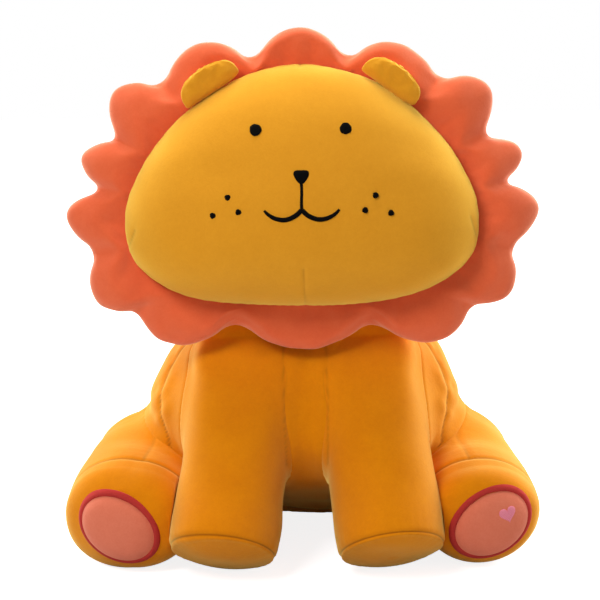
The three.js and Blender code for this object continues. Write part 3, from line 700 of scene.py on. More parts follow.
front_leg_profile = smooth_curve(FRONT_LEG_STATIONS, FRONT_LEG_SECTIONS) * [FRONT_LEG_LENGTH, FRONT_LEG_RADIUS]
haunch = HIP_RADIUS * np.stack([-np.sin(HIP_ANGLES), np.cos(HIP_ANGLES), np.cos(HIP_ANGLES)], -1)
toes = np.array(HIND_LEG_STATIONS)[:, [0, 1, 1]] * [-1, 1, HIND_LEG_FLATNESS]
toes = toes * [HIND_LEG_LENGTH, HIND_LEG_RADIUS, HIND_LEG_RADIUS]
hind_leg_profile = smooth_curve(np.concatenate([toes, haunch]), HIND_LEG_SECTIONS)
print("leg profiles:", len(front_leg_profile), "sections in front,", len(hind_leg_profile), "behind")


def leg_drop(along, half_height):
    """The middle line of a hind leg drops as the leg gets lower, so its underside stays on the floor."""
    least = HIND_LEG_RADIUS * HIND_LEG_FLATNESS
    return np.where(along < 0, HIP_RADIUS - np.maximum(half_height, least), 0)


def front_leg_distance(points, side):
    """How far points lie outside a front leg, square to its middle line."""
    local = into(points, front_leg_frame(side))
    along = np.clip(local[..., 2], -FRONT_LEG_LENGTH, SHOULDER_RISE)
    radius = np.interp(along, front_leg_profile[:, 0], front_leg_profile[:, 1])
    return np.sqrt(local[..., 0] ** 2 + local[..., 1] ** 2 + (local[..., 2] - along) ** 2) - radius


def hind_leg_distance(points, side):
    """About how far points lie outside a hind leg: its ellipses are stretched upwards into circles."""
    local = into(points, hind_leg_frame(side))
    along = np.clip(local[..., 1], -HIND_LEG_LENGTH, 0)
    places, *columns = hind_leg_profile.T
    half_width, half_height = (np.interp(along, places, column) for column in columns)
    up = (local[..., 2] + leg_drop(along, half_height)) * half_width / half_height
    return np.sqrt(local[..., 0] ** 2 + up**2 + (local[..., 1] - along) ** 2) - half_width


# %% A smooth join
JOIN_STEPS = 20
JOIN_PACE = 0.35


def soft_least(first, second, reach):
    """The lesser of two distances, rounded off where they are nearly the same."""
    near = np.clip(1 - np.abs(first - second) / reach, 0, 1)
    return np.minimum(first, second) - reach / 4 * near**2


def joined(grid, own, other, reach, early=0.0):
    """Moves a grid out to where the soft least of both distances is 0.

    Past the middle, where the other form is the nearer one, it stays below that, and so under the
    other form; early says how much sooner it goes under. Short steps keep the search from swinging.
    """
    normal = outward(grid)
    apart = other(grid)
    shift = np.zeros(grid.shape[:2])
    for _ in range(JOIN_STEPS):
        here = grid + normal * shift[..., None]
        first, second = own(here), other(here)
        level = -0.5 * np.clip(first - second + early, 0, None)
        shift = np.clip(shift + JOIN_PACE * (level - soft_least(first, second, reach)), 0, reach / 2)
    near = smoothstep(-1.5 * reach, -0.5 * reach, apart) * smoothstep(1.6 * reach, 1.1 * reach, apart)
    return grid + normal * (shift * near)[..., None]


# %% What the forms share
LEG_HOLLOW = 15
HIP_HOLLOW = 16
SIDE_SEAM_DEPTH = -8
SIDE_SEAM_SLOPE = 0.55
SIDE_SEAM_HEIGHT = 124
CREASE_SPREAD = 1.4
CREASE_FADE = (10, -8)
FLOOR_FADE = (2, 30)


def side_seam_depth(height):
    """How far back the torso's side seam runs at each height: a straight line."""
    return SIDE_SEAM_DEPTH + SIDE_SEAM_SLOPE * (height - SIDE_SEAM_HEIGHT)


def hip_crease(points, side):
    """The distance from the fold between torso and thigh, and how deep it is: it fades behind the side."""
    across = (hind_leg_distance(points, side) - body_distance(points)) / CREASE_SPREAD
    seam = side_seam_depth(points[..., 2])
    return across, smoothstep(seam + CREASE_FADE[0], seam + CREASE_FADE[1], points[..., 1])


# %% [markdown]
# ## Body
# The body is a pear that leans forward over a raised belly. On the real toy it is two side panels, a
# narrow gusset between the front legs and an oval seat; here it is one closed form with those seams
# pressed in. Modelling each panel as its own sheet would only show at the seams.

# %% Body cover
GUSSET_HALF_WIDTH = 16
SEAT_SEAM_HEIGHT = 7
CREASE_DEPTH = 2.2
CREASE_PUCKERS = 0.6
GUSSET_STRENGTH = 0.4
OFF_SEAM = 40
STIFF_BELLY = 70


def body_surface():
    """Superellipse sections up the profile, joined to the four legs, with lumps and seams.

    A superellipse has signed powers of a cosine and a sine as its two sides.
    """
    heights, half_width, low, high = body_profile.T[..., None]
    turn = angles(BODY_AROUND)
    x = half_width * signed_power(np.cos(turn), 2 / BODY_SQUARENESS)
    y = (low + high) / 2 + (high - low) / 2 * signed_power(np.sin(turn), 2 / BODY_SQUARENESS)
    grid = points_of(x, y, heights)
    for _, side in SIDES:
        grid = joined(grid, body_distance, partial(front_leg_distance, side=side), LEG_HOLLOW)
        grid = joined(grid, body_distance, partial(hind_leg_distance, side=side), HIP_HOLLOW)
    x, y, z = np.moveaxis(grid, -1, 0)
    side_line = side_seam_depth(z)
    behind = np.sin(turn) > 0
    held = (z < SEAT_SEAM_HEIGHT + 3) | (z > BODY_HEIGHT) | (behind & (np.abs(x) < 3))
    held = held | (np.abs(y - side_line) < 3) | (~behind & (np.abs(x) < STIFF_BELLY))
    for _, side in SIDES:
        held = held | (front_leg_distance(grid, side) < LEG_HOLLOW)
        held = held | (hind_leg_distance(grid, side) < HIP_HOLLOW)
    ends = np.array([[0, SEAT_MIDDLE, 0], [0, NECK_MIDDLE[1], NECK_MIDDLE[2] + NECK_RADIUS]])
    grid = inflated(grid, held, 4, ends)
    x, y, z = np.moveaxis(grid, -1, 0)
    lines = [
        (np.abs(np.abs(x) - GUSSET_HALF_WIDTH) + OFF_SEAM * behind, z, GUSSET_STRENGTH, 0),
        (np.abs(x) + OFF_SEAM * ~behind, z, 0.9, 0.8),
        (z - SEAT_SEAM_HEIGHT, x, 0.5, 0),
        (np.abs(y - side_line) + OFF_SEAM * (np.abs(x) < 60), z, 0.8, 0.5),
    ]
    height = lumps(grid, BODY_LUMPS)
    mask = np.zeros_like(z)
    for _, side in SIDES:
        across, depth = hip_crease(grid, side)
        height = height + seam_press(across, y, CREASE_DEPTH, CREASE_PUCKERS) * depth * (x * side > 0)
    for distance, along, strength, puckers in lines:
        height = height + seam_press(distance, along, strength * SEAM_DEPTH, puckers)
        mask = np.maximum(mask, strength * seam_mask(distance))
    return on_floor(pushed(grid, height)), ends, mask


body_cover = closed_shell("body_cover", *body_surface())
panels = ["body_panel_left", "body_panel_right", "chest_gusset", "seat_panel", "body_filling"]
dress(body_cover, "body", "gold_velvet", panels)

# %% [markdown]
# ## Front legs
# Each front leg is a thick column, closed by a round sole that is sewn on and bulges. It leans
# forward, stands on the edge of its sole, and runs up into the body under the mane. Its top is
# pressed flat behind the mane, so that the head has room to nod. A bevelled curve would do for the
# column, but the sole's dome and the hollow at the body need points of their own, so it is rings.

# %% Front leg covers
LEG_RINGS = 150
LEG_AROUND = 132
HEAD_FRAME = frame_at(HEAD_MIDDLE, [HEAD_PITCH, 0, 0])
NOD_DOWN = 4
MANE_ROOM = 2.2
MANE_FOOT = -84
MANE_FOOT_SLOPE = 0.9
PRESS_START = -18
PRESS_SOFTNESS = 60
SOLE_STATIONS = [[0.99, 0.12], [0.93, 0.35], [0.72, 0.62], [0.38, 0.86]]
GUSSET_FOOT = 78


def behind_mane(grid):
    """Presses the cloth back to where it stays clear of the mane when the head nods right down.

    The limit is a plane behind the lowered mane, which slopes off below the mane's lowest lobes. The
    press is the positive part of what a point lacks to it, rounded off by a square root.
    """
    nod, _ = frame_at([0, 0, 0], [NOD_DOWN, 0, 0])
    turned, middle = HEAD_FRAME
    lowered = (nod @ turned, out_of(middle - NECK_MIDDLE, (nod, NECK_MIDDLE)))
    local = into(grid, lowered)
    limit = MANE_SETBACK + MANE_THICKNESS / 2 + MANE_ROOM
    limit = limit - MANE_FOOT_SLOPE * np.clip(MANE_FOOT - local[..., 2], 0, None)
    short = limit - local[..., 1]
    press = (short + np.sqrt(short**2 + PRESS_SOFTNESS)) / 2 * smoothstep(PRESS_START, 0, short)
    print(f"pressed back behind the mane by at most {press.max():.1f} mm")
    return grid + lowered[0][:, 1] * press[..., None]


def front_leg_surface(side):
    """Circles along the leg's middle line, from the sole's dome to the top of the shoulder."""
    sole = [[-FRONT_LEG_LENGTH - drop * SOLE_BULGE, wide * FRONT_LEG_RADIUS] for drop, wide in SOLE_STATIONS]
    column = np.array(FRONT_LEG_STATIONS[1:]) * [FRONT_LEG_LENGTH, FRONT_LEG_RADIUS]
    shoulder = column[-1, 1] * np.stack([np.sin(SHOULDER_ANGLES), np.cos(SHOULDER_ANGLES)], -1)
    shoulder = shoulder + [SHOULDER_RISE, 0]
    along, radius = smooth_curve(np.concatenate([sole, column, shoulder]), LEG_RINGS).T[..., None]
    turn = angles(LEG_AROUND)
    home = front_leg_frame(side)
    grid = out_of(points_of(radius * np.cos(turn), radius * np.sin(turn), along), home)
    grid = joined(grid, partial(front_leg_distance, side=side), body_distance, LEG_HOLLOW, early=2)
    below = along < -FRONT_LEG_LENGTH
    sole_line = along + FRONT_LEG_LENGTH - below * (FRONT_LEG_RADIUS - radius)
    chest_line = np.abs(side * grid[..., 0] - GUSSET_HALF_WIDTH) + OFF_SEAM * (grid[..., 2] < GUSSET_FOOT)
    height = lumps(grid, BODY_LUMPS) * smoothstep(*FLOOR_FADE, grid[..., 2])
    height = height + seam_press(sole_line, FRONT_LEG_RADIUS * turn, puckers=0.5)
    height = height + seam_press(chest_line, 0, GUSSET_STRENGTH * SEAM_DEPTH, 0)
    ends = [[0, 0, -FRONT_LEG_LENGTH - SOLE_BULGE], [0, 0, SHOULDER_RISE + column[-1, 1]]]
    mask = np.maximum(seam_mask(sole_line), GUSSET_STRENGTH * seam_mask(chest_line))
    return on_floor(behind_mane(pushed(grid, height))), out_of(np.array(ends), home), mask


for word, side in SIDES:
    cover = closed_shell(f"front_leg_cover_{word}", *front_leg_surface(side))
    nodes = [f"front_leg_{word}", f"front_sole_{word}", f"front_leg_filling_{word}"]
    dress(cover, None, "gold_velvet", nodes)
    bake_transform(cover)

# %% [markdown]
# ## Hind legs
# A hind leg lies forward on the floor: a round haunch, a waistless thigh and a blunt foot whose front
# is one band of cloth round an oval pad. The front leg leans on it, so the fabric gives way there.
# It could be sculpted from a capsule; rings of ellipses keep its width and height in two columns.

# %% Hind leg covers
OUTER_FULLNESS = 9.5
TOP_FULLNESS = 2.5
FOOT_FRONT = -0.76 * HIND_LEG_LENGTH
TOP_SEAM_SIDE = 4
OFF_TOP_SEAM = 60
CLEAR_OF_BODY = (4, 40)
CLEAR_OF_TOES = (-106, -88)
LEG_GAP = 1.0


def foot_reach(distance):
    """How far along the leg its front surface lies, at a distance from the leg's middle line."""
    front = hind_leg_profile[hind_leg_profile[:, 0] < FOOT_FRONT]
    return np.interp(distance, front[:, 1], -front[:, 0])


def hind_leg_surface(side):
    """Ellipses along the leg's middle line, lowered towards the foot, and pressed in by the front leg.

    The left thigh is stuffed a little fuller on its outer side and on top, as on the real toy.
    """
    turn = angles(LEG_AROUND)
    along, half_width, half_height = hind_leg_profile[::-1].T[..., None]
    up = half_height * np.sin(turn) - leg_drop(along, half_height)
    local = points_of(half_width * np.cos(turn), along, up)
    home = hind_leg_frame(side)
    own = partial(hind_leg_distance, side=side)
    grid = joined(out_of(local, home), own, body_distance, HIP_HOLLOW, early=1)
    foot_line = local[..., 1] + FOOT_SEAM
    no_top_line = (local[..., 2] < 0) | (local[..., 1] < -FOOT_SEAM)
    top_line = np.abs(local[..., 0] + side * TOP_SEAM_SIDE) + OFF_TOP_SEAM * no_top_line
    height = lumps(grid, BODY_LUMPS) * smoothstep(*FLOOR_FADE, grid[..., 2])
    if side < 0:
        clear = smoothstep(*CLEAR_OF_BODY, body_distance(grid)) * smoothstep(*CLEAR_OF_TOES, along)
        fuller = OUTER_FULLNESS * np.clip(-np.cos(turn), 0, 1) + TOP_FULLNESS * np.clip(np.sin(turn), 0, 1)
        height = height + fuller * clear
    height = height + seam_press(foot_line, HIND_LEG_RADIUS * turn, puckers=0.3)
    height = height + seam_press(top_line, local[..., 1], 0.8, 0.3)
    across, depth = hip_crease(grid, side)
    height = height + seam_press(across, grid[..., 1], CREASE_DEPTH, CREASE_PUCKERS) * depth
    grid = pushed(grid, height)
    inside = np.clip(LEG_GAP - front_leg_distance(grid, side), 0, None)
    leg = front_leg_frame(side)
    away = unit(into(grid, leg) * [1, 1, 0])
    grid = grid + (away @ leg[0].T) * inside[..., None]
    ends = out_of(np.array([[0, HIP_RADIUS, 0], [0, -HIND_LEG_LENGTH, -FOOT_DROP]]), home)
    return on_floor(grid), ends, np.maximum(0.8 * seam_mask(foot_line), 0.6 * seam_mask(top_line))


for word, side in SIDES:
    cover = closed_shell(f"hind_leg_cover_{word}", *hind_leg_surface(side))
    nodes = [f"thigh_{word}", f"foot_{word}", f"hind_leg_filling_{word}"]
    dress(cover, None, "gold_velvet", nodes)
    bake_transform(cover)

# %% [markdown]
# ## Foot pads
# Each pad is an oval cushion that stands proud of the foot, with a dark corded welt round its edge.
# A flat disc could be shrinkwrapped onto the foot. Here the pad is a dome over the formula of the
# foot's own front surface, so it follows the foot whatever its curve, and so does the welt.

# %% Pads and welts
PAD_HALF_LENGTH = 32
PAD_HALF_WIDTH = 25
PAD_TILT = 29
PAD_SIDES = {-1: 7, 1: 3}
PAD_MIDDLE_DROP = FOOT_DROP + 0.5
PAD_SAG = (0.7, -1.6)
PAD_RIM = 3.4
PAD_CROWN = 3.0
PAD_SUNK = 1.5
PAD_AROUND = 96
WELT_HALF_WIDTH = 2.4
WELT_INSET = 0.6
WELT_HALF_HEIGHT = 2.4
WELT_RISE = 0.6
WELT_STEPS, WELT_AROUND = 160, 14


def oval(side, share, turn):
    """A tilted ellipse on the front of the foot, as places sideways and up from the leg's middle line."""
    tilt = side * math.radians(PAD_TILT)
    along = share * PAD_HALF_LENGTH * np.cos(turn)
    across = share * PAD_HALF_WIDTH * np.sin(turn)
    x = side * PAD_SIDES[side] + along * math.cos(tilt) - across * math.sin(tilt)
    z = -PAD_MIDDLE_DROP + along * math.sin(tilt) + across * math.cos(tilt)
    return x, z


def on_foot(x, z, height):
    """Points that stand a height in front of the foot."""
    reach = foot_reach(np.hypot(x, (z + FOOT_DROP) / HIND_LEG_FLATNESS))
    return points_of(x, -reach - height, z)


def pad_dome(share):
    """The pad's height at a share of the way to its rim: a steep edge and a low crown, both powers."""
    return PAD_RIM * (1 - share**8) + PAD_CROWN * (1 - share**2)


def cushion_shares(start, hidden, edge, shown):
    """Shares of an outline from a hidden pole out to the rim and back over the top, as a column.

    The second column says which of them lie on top.
    """
    share = np.concatenate([np.linspace(start, 1, hidden), np.cos(np.linspace(edge, 1.5, shown))])
    return share[:, None], np.arange(len(share))[:, None] >= hidden


def pad_surface(side):
    """A domed disc: from a pole inside the foot, out over the rim, and in again to the front pole."""
    share, front = cushion_shares(0.1, 12, 0.12, 34)
    x, z = oval(side, share, angles(PAD_AROUND))
    sag = np.sin(np.pi / 2 * share) * front
    x, z = x + side * PAD_SAG[0] * sag, z + PAD_SAG[1] * sag
    grid = on_foot(x, z, np.where(front, pad_dome(share), -PAD_SUNK))
    ends = on_foot(*oval(side, 0, 0.0), np.array([-PAD_SUNK, PAD_RIM + PAD_CROWN]))
    home = hind_leg_frame(side)
    return out_of(grid, home), out_of(ends, home)


def welt_surface(side):
    """A ring of small ellipses that follows the pad's edge, closed into a tube."""
    section = angles(WELT_AROUND)
    x, z = (edge[:, None] for edge in oval(side, 1, angles(WELT_STEPS)))
    middle_x, middle_z = oval(side, 0, 0.0)
    out_x, out_z = x - middle_x, z - middle_z
    length = np.hypot(out_x, out_z)
    wide = WELT_HALF_WIDTH * np.cos(section) - WELT_INSET
    high = WELT_HALF_HEIGHT * np.sin(section) + WELT_RISE
    tube = on_foot(x + wide * (out_x / length), z + wide * (out_z / length), high)
    return out_of(tube, hind_leg_frame(side))


for word, side in SIDES:
    pad = closed_shell(f"foot_pad_{word}", *pad_surface(side))
    dress(pad, f"hind_leg_{word}", "pad_velvet", [f"pad_{word}"])
    welt = ring_tube(f"pad_welt_{word}", welt_surface(side))
    dress(welt, f"hind_leg_{word}", "welt_cloth", [f"pad_piping_{word}"])

# %% [markdown]
# ## Head
# The head is two domes on one rounded outline: the face in front of the mane's seam, and the deeper
# back behind it. The outline is a superellipse, wide and flat at the chin and narrower at the crown.
# The domes use the same formula with the depth swapped. A scaled sphere would be quicker, but its
# outline is an ellipse, and the cheeks of the toy are fuller than that.

# %% Head surfaces
HEAD_AROUND = 360
HEAD_RINGS = 96
HIDDEN_RINGS = 12
HEAD_TUCK = 5.0
OUTLINE_WAVES = 24


def face_outline(turn):
    """A superellipse whose upper and lower halves have their own height and squareness."""
    above = np.sin(turn) >= 0
    squareness = np.where(above, CROWN_SQUARENESS, CHIN_SQUARENESS)
    rise = np.where(above, CROWN_RISE, CHIN_DROP)
    x = FACE_HALF_WIDTH * signed_power(np.cos(turn), 2 / squareness)
    return x, rise * signed_power(np.sin(turn), 2 / squareness)


def even_outline(count):
    """The face outline at evenly spaced directions, with its corners rounded: only its slow waves are kept."""
    fine_x, fine_z = face_outline(angles(4096))
    direction, reach = np.arctan2(fine_z, fine_x), np.hypot(fine_x, fine_z)
    order = np.argsort(direction)
    turn = angles(count)
    even = np.interp((turn + np.pi) % (2 * np.pi) - np.pi, direction[order], reach[order], period=2 * np.pi)
    waves = np.fft.rfft(even)
    waves[OUTLINE_WAVES:] = 0
    return np.fft.irfft(waves, count)


outline_reach = even_outline(HEAD_AROUND)
print(f"face outline: from {outline_reach.min():.0f} to {outline_reach.max():.0f} mm from its middle")


def outline_at(turn):
    """How far out the outline lies in each direction."""
    return np.interp(turn % (2 * np.pi), angles(HEAD_AROUND), outline_reach, period=2 * np.pi)


def dome_share(x, z):
    """How far out a point of the face lies, from 0 in the middle to 1 on the outline."""
    return np.hypot(x, z) / outline_at(np.arctan2(z, x))


def face_depth(x, z):
    """The dome in front: its depth times the superellipse complement of the share."""
    share = np.clip(dome_share(x, z), 0, 1)
    return -FACE_DOME * (1 - share**HEAD_FULLNESS) ** (1 / HEAD_FULLNESS)


def head_grid(depth, tuck):
    """Outlines scaled by the sine of an angle, set at a depth by its cosine; then a hidden inner disc.

    Also each ring's share of the outline, and whether the ring shows, both as columns.
    """
    steep = np.linspace(0.03, np.pi / 2, HEAD_RINGS)
    share = np.concatenate([np.sin(steep) ** (2 / HEAD_FULLNESS), np.linspace(0.97, 0.05, HIDDEN_RINGS)])
    back = np.concatenate([depth * np.cos(steep) ** (2 / HEAD_FULLNESS), np.full(HIDDEN_RINGS, tuck)])
    turn = angles(HEAD_AROUND)
    reach = share[:, None] * outline_reach
    grid = points_of(reach * np.cos(turn), back[:, None], reach * np.sin(turn))
    return grid, share[:, None], (np.arange(len(share)) < HEAD_RINGS)[:, None]


# %% Face
GATHERS = 60
GATHER_HEIGHT = 0.12
GATHER_REACH = 5
DARTS = [
    [(1.5, -64), (0.5, -34), 0.6, 0.4],
    [(0, 121), (0, 116), 0.8, 0.6],
    [(-124, -4), (-129, -16), 0.7, 0.6],
    [(124, 2), (129, -12), 0.7, 0.6],
]


def dart_distance(x, z, start, end):
    """The distance to a short straight line, by the nearest point on it."""
    start, end = np.array(start), np.array(end)
    ahead = end - start
    share = np.clip(((x - start[0]) * ahead[0] + (z - start[1]) * ahead[1]) / (ahead @ ahead), 0, 1)
    return np.hypot(x - start[0] - share * ahead[0], z - start[1] - share * ahead[1])


def face_surface():
    """The front dome with a short dart up from the chin, a nick at the crown and one at each cheek."""
    grid, share, shown = head_grid(-FACE_DOME, HEAD_TUCK)
    x, z = grid[..., 0], grid[..., 2]
    height = lumps(grid, FACE_LUMPS)
    edge = (1 - share) * FACE_HALF_WIDTH
    gathers = np.sin(GATHERS * angles(HEAD_AROUND)) * np.exp(-edge / GATHER_REACH)
    height = height + GATHER_HEIGHT * gathers
    mask = np.zeros_like(x)
    for start, end, depth, darkness in DARTS:
        distance = dart_distance(x, z, start, end)
        height = height + seam_press(distance, z, depth, puckers=0.3)
        mask = np.maximum(mask, darkness * seam_mask(distance))
    grid = out_of(pushed(grid, -np.where(shown, height, 0)), HEAD_FRAME)
    ends = out_of(np.array([[0, -FACE_DOME, 0], [0, HEAD_TUCK, 0]]), HEAD_FRAME)
    return grid[:, ::-1], ends, (mask * shown)[:, ::-1]


face_cover = closed_shell("face_cover", *face_surface())
dress(face_cover, "head", "face_velvet", ["face_panel", "head_filling"])

# %% Back of the head
BACK_FADE = (1, 0.93)
BACK_INSET = 0.5
HELD_RIM = 0.985
HELD_SEAM = 2.5
HELD_NECK = 12


def head_back_surface():
    """The rear dome with a centre seam, hollowed below where it sits on the neck."""
    grid, share, shown = head_grid(HEAD_BACK, -HEAD_TUCK)
    line = np.abs(grid[..., 0])
    height = lumps(grid, HEAD_BACK_LUMPS) + seam_press(line, grid[..., 2])
    height = height * smoothstep(*BACK_FADE, share) - BACK_INSET
    grid = pushed(grid, np.where(shown, height, 0))
    neck_here = into(NECK_MIDDLE, HEAD_FRAME)
    ends = np.array([[0, HEAD_BACK, 0], [0, -HEAD_TUCK, 0]])
    hollow = np.linalg.norm(grid - neck_here, axis=-1) < NECK_RADIUS + HELD_NECK
    held = ~shown | (share > HELD_RIM) | (line < HELD_SEAM) | hollow
    away = inflated(grid, held, 3, ends) - neck_here
    distance = np.linalg.norm(away, axis=-1, keepdims=True)
    grid = neck_here + away * np.maximum(distance, NECK_RADIUS + 1) / distance
    return out_of(grid, HEAD_FRAME), out_of(ends, HEAD_FRAME), seam_mask(line) * shown


head_back_cover = closed_shell("head_back_cover", *head_back_surface())
dress(head_back_cover, "head", "gold_velvet", ["head_back_left", "head_back_right"])

# %% [markdown]
# ## Mane
# The mane is what makes this toy a lion: fourteen padded lobes in one ring, sewn from a front and a
# back panel and stuffed thinner than the head. Each lobe is a bulge of the rim between two notches,
# and the notches pull the padding in as short creases. The surface is a function of the way round the
# mane and the way across it, from the face seam over the rim to the back. Fourteen separate cushions
# would show gaps at the notches, where the real cloth runs on from lobe to lobe.

# %% Mane surface
LOBE_TIP_SHARES = [
    [0, 0.85],
    [0.427, 0.777],
    [0.812, 0.577],
    [0.957, 0.3],
    [1.03, 0.045],
    [0.905, -0.32],
    [0.572, -0.53],
    [0, -0.55],
]
LOBE_NOTCH_SHARES = [
    [0.208, 0.702],
    [0.6, 0.597],
    [0.787, 0.358],
    [0.871, 0.152],
    [0.9, -0.12],
    [0.725, -0.368],
    [0.298, -0.43],
]
LOBE_STEPS = 30
LOBE_FULLNESS = 0.8
NOTCH_SOFTNESS = 1.9
NOTCH_REACH = 9
NOTCH_THICKNESS = 0.7
MANE_ACROSS = 26
MANE_CROWDING = 1.7
THICKNESS_AT_SEAM = 0.62
FULL_THICKNESS_AT = 0.45
ROUND_FROM, ROUND_LENGTH = 0.42, 0.58
ROUND_POWERS = (2.6, 1 / 2.1)
CREASE_WIDTH, CREASE_POWER = 0.32, 1.3
CREASE_RISE = (0.25, 0.85)
SEAM_ALLOWANCE = 2.5
RIM_SEAM_WIDTH = 1.2
RIM_SEAM_DEPTH = 0.7


def mane_rim():
    """Each lobe runs from notch to notch and swells towards its tip as a power of a sine.

    A bell-shaped average along the rim then rounds the notches. Also how far each point is from its
    notches, as a sine.
    """
    half = np.array(LOBE_TIP_SHARES)
    tips = np.concatenate([half, half[-2:0:-1] * [-1, 1]])
    half = np.array(LOBE_NOTCH_SHARES)
    notches = np.concatenate([half, half[::-1] * [-1, 1]])
    along = (np.arange(LOBE_STEPS) / LOBE_STEPS)[None, :, None]
    start, end = np.roll(notches, 1, axis=0)[:, None], notches[:, None]
    swell = np.sin(np.pi * along) ** LOBE_FULLNESS
    rim = start + (end - start) * along + (tips[:, None] - (start + end) / 2) * swell
    rim = rim.reshape(-1, 2)
    shifts = np.arange(-NOTCH_REACH, NOTCH_REACH + 1)
    weights = np.exp(-((shifts / NOTCH_SOFTNESS) ** 2) / 2)
    rim = sum(weight * np.roll(rim, shift, axis=0) for weight, shift in zip(weights, shifts))
    middle = np.broadcast_to(np.sin(np.pi * along), (len(tips), LOBE_STEPS, 1))
    return MANE_REACH * rim / weights.sum(), middle.reshape(-1)


def mane_surface():
    """Across the mane the thickness rises from the seam and closes round the rim; creases thin it."""
    rim, middle = mane_rim()
    turn = np.arctan2(rim[:, 1], rim[:, 0])
    reach = outline_at(turn) - SEAM_ALLOWANCE
    inner = np.stack([reach * np.cos(turn), reach * np.sin(turn)], -1)
    across = 1 - (1 - np.linspace(0, 1, MANE_ACROSS)) ** MANE_CROWDING
    rise = np.sin(np.pi / 2 * np.minimum(across / FULL_THICKNESS_AT, 1))
    thick = THICKNESS_AT_SEAM + (1 - THICKNESS_AT_SEAM) * rise
    close, root = ROUND_POWERS
    thick = thick * (1 - np.clip((across - ROUND_FROM) / ROUND_LENGTH, 0, 1) ** close) ** root
    near_notch = np.exp(-((middle / CREASE_WIDTH)[:, None] ** CREASE_POWER))
    crease = (1 - NOTCH_THICKNESS) * near_notch * smoothstep(*CREASE_RISE, across)
    half = MANE_THICKNESS / 2 * thick * (1 - crease)
    x, z = np.moveaxis(inner[:, None] + (rim - inner)[:, None] * across[None, :, None], -1, 0)
    front, back = (points_of(x, MANE_SETBACK + side * half, z) for side in (-1, 1))
    return np.concatenate([front, back[:, -2::-1]], axis=1)


def tube_normals(grid):
    """Unit normals of a tube grid that is closed both ways round."""
    along = np.roll(grid, -1, axis=0) - np.roll(grid, 1, axis=0)
    across = np.roll(grid, -1, axis=1) - np.roll(grid, 1, axis=1)
    return unit(np.cross(along, across))


grid = mane_surface()
seams = np.zeros(grid.shape[:2], bool)
seams[:, [0, 1, -2, -1]] = seams[:, MANE_ACROSS - 2 : MANE_ACROSS + 1] = True
grid = inflated(grid, seams, 2, pressure=8, ease=0.035)
from_rim = np.abs(np.arange(grid.shape[1]) - (MANE_ACROSS - 1))
rim_seam = np.exp(-((from_rim / RIM_SEAM_WIDTH) ** 2))
height = lumps(grid, MANE_LUMPS) - RIM_SEAM_DEPTH * rim_seam
grid = grid + tube_normals(grid) * height[..., None]
mane_cover = ring_tube("mane_cover", out_of(grid, HEAD_FRAME), 0.5 * rim_seam)
dress(mane_cover, "head", "rust_velvet", ["mane_front", "mane_back", "mane_filling"])

# %% [markdown]
# ## Ears
# The ears are small flat cushions, D-shaped, sewn into the corner between face and mane, of the same
# cloth as the face. Each is a stack of thin ellipses that narrows towards the top and is pinched along
# its edge; two flat discs glued together would show no padding. Both ears are one form: it is blown up
# once and set in place twice.

# %% Ear covers
EAR_HALF_WIDTH = 24
EAR_HEIGHT = 17.5
EAR_HALF_THICKNESS = 4.6
EAR_STAND = 2.9
EAR_FULLNESS = 1.25
EAR_FORWARD = 8
EAR_LEAN = 22
EAR_ANGLE = 58
EAR_ROLL = 5
EAR_SUNK = 0.98
EAR_PINCH = 0.5
EAR_PINCH_WIDTH = 1.1
EAR_FREE = (-2, 4)
EAR_RINGS, EAR_AROUND = 60, 96
EAR_STATIONS = [
    [-0.17, 0.5, 0.3],
    [-0.14, 0.9, 0.62],
    [0, 1, 0.95],
    [0.3, 0.98, 1.15],
    [0.58, 0.86, 1.05],
    [0.8, 0.64, 0.78],
    [0.94, 0.36, 0.45],
    [0.99, 0.12, 0.2],
]


def ear_frame(side):
    """An ear stands square to the face outline and leans forward of the mane; +Z runs up the ear."""
    (x, near_x), (z, near_z) = face_outline(np.radians([EAR_ANGLE, EAR_ANGLE + 2]))
    turn = math.degrees(math.atan2(near_z - z, near_x - x)) - 180 - EAR_ROLL
    front = MANE_SETBACK - MANE_THICKNESS / 2 * EAR_SUNK
    outside = 1 + EAR_STAND / math.hypot(x, z)
    stand = frame_at([side * x * outside, front - EAR_FORWARD, z * outside], [0, -side * turn, 0])
    lean = frame_at([0, 0, 0], [EAR_LEAN, 0, 0])
    return HEAD_FRAME[0] @ stand[0] @ lean[0], out_of(stand[1], HEAD_FRAME)


def ear_surface():
    """Thin ellipses up the ear, pinched where the two panels meet."""
    rise, wide, thick = smooth_curve(EAR_STATIONS, EAR_RINGS).T[..., None]
    turn = angles(EAR_AROUND)
    y = thick * EAR_FULLNESS * EAR_HALF_THICKNESS * signed_power(np.sin(turn), 0.9)
    grid = points_of(wide * EAR_HALF_WIDTH * np.cos(turn), y, rise * EAR_HEIGHT)
    z = grid[..., 2]
    ends = np.array([[0, 0, EAR_STATIONS[0][0] * EAR_HEIGHT], [0, 0, EAR_HEIGHT]])
    grid = inflated(grid, (z < 2) | (np.abs(y) < 0.7), 2, ends, pressure=10, ease=0.04, cap=2.5)
    free = smoothstep(*EAR_FREE, z)
    height = lumps(grid, EAR_LUMPS) - EAR_PINCH * np.exp(-((y / EAR_PINCH_WIDTH) ** 2)) * free
    return pushed(grid, height), ends, 0.4 * seam_mask(y * 1.4) * free


ear_grid, ear_ends, mask = ear_surface()
for word, side in SIDES:
    home = ear_frame(side)
    ear = closed_shell(f"ear_cover_{word}", out_of(ear_grid, home), out_of(ear_ends, home), mask)
    dress(ear, f"ear_{word}", "face_velvet", [f"ear_front_{word}", f"ear_back_{word}"])

# %% [markdown]
# ## Stitched face
# Eyes, nose and freckles are filled shapes and the mouth is a line of thread. A filled shape is a low
# cushion over the face's own dome; a line is a flattened tube whose width ripples from stitch to
# stitch. Painting them on the face would be quicker, but thread stands up and catches the light.

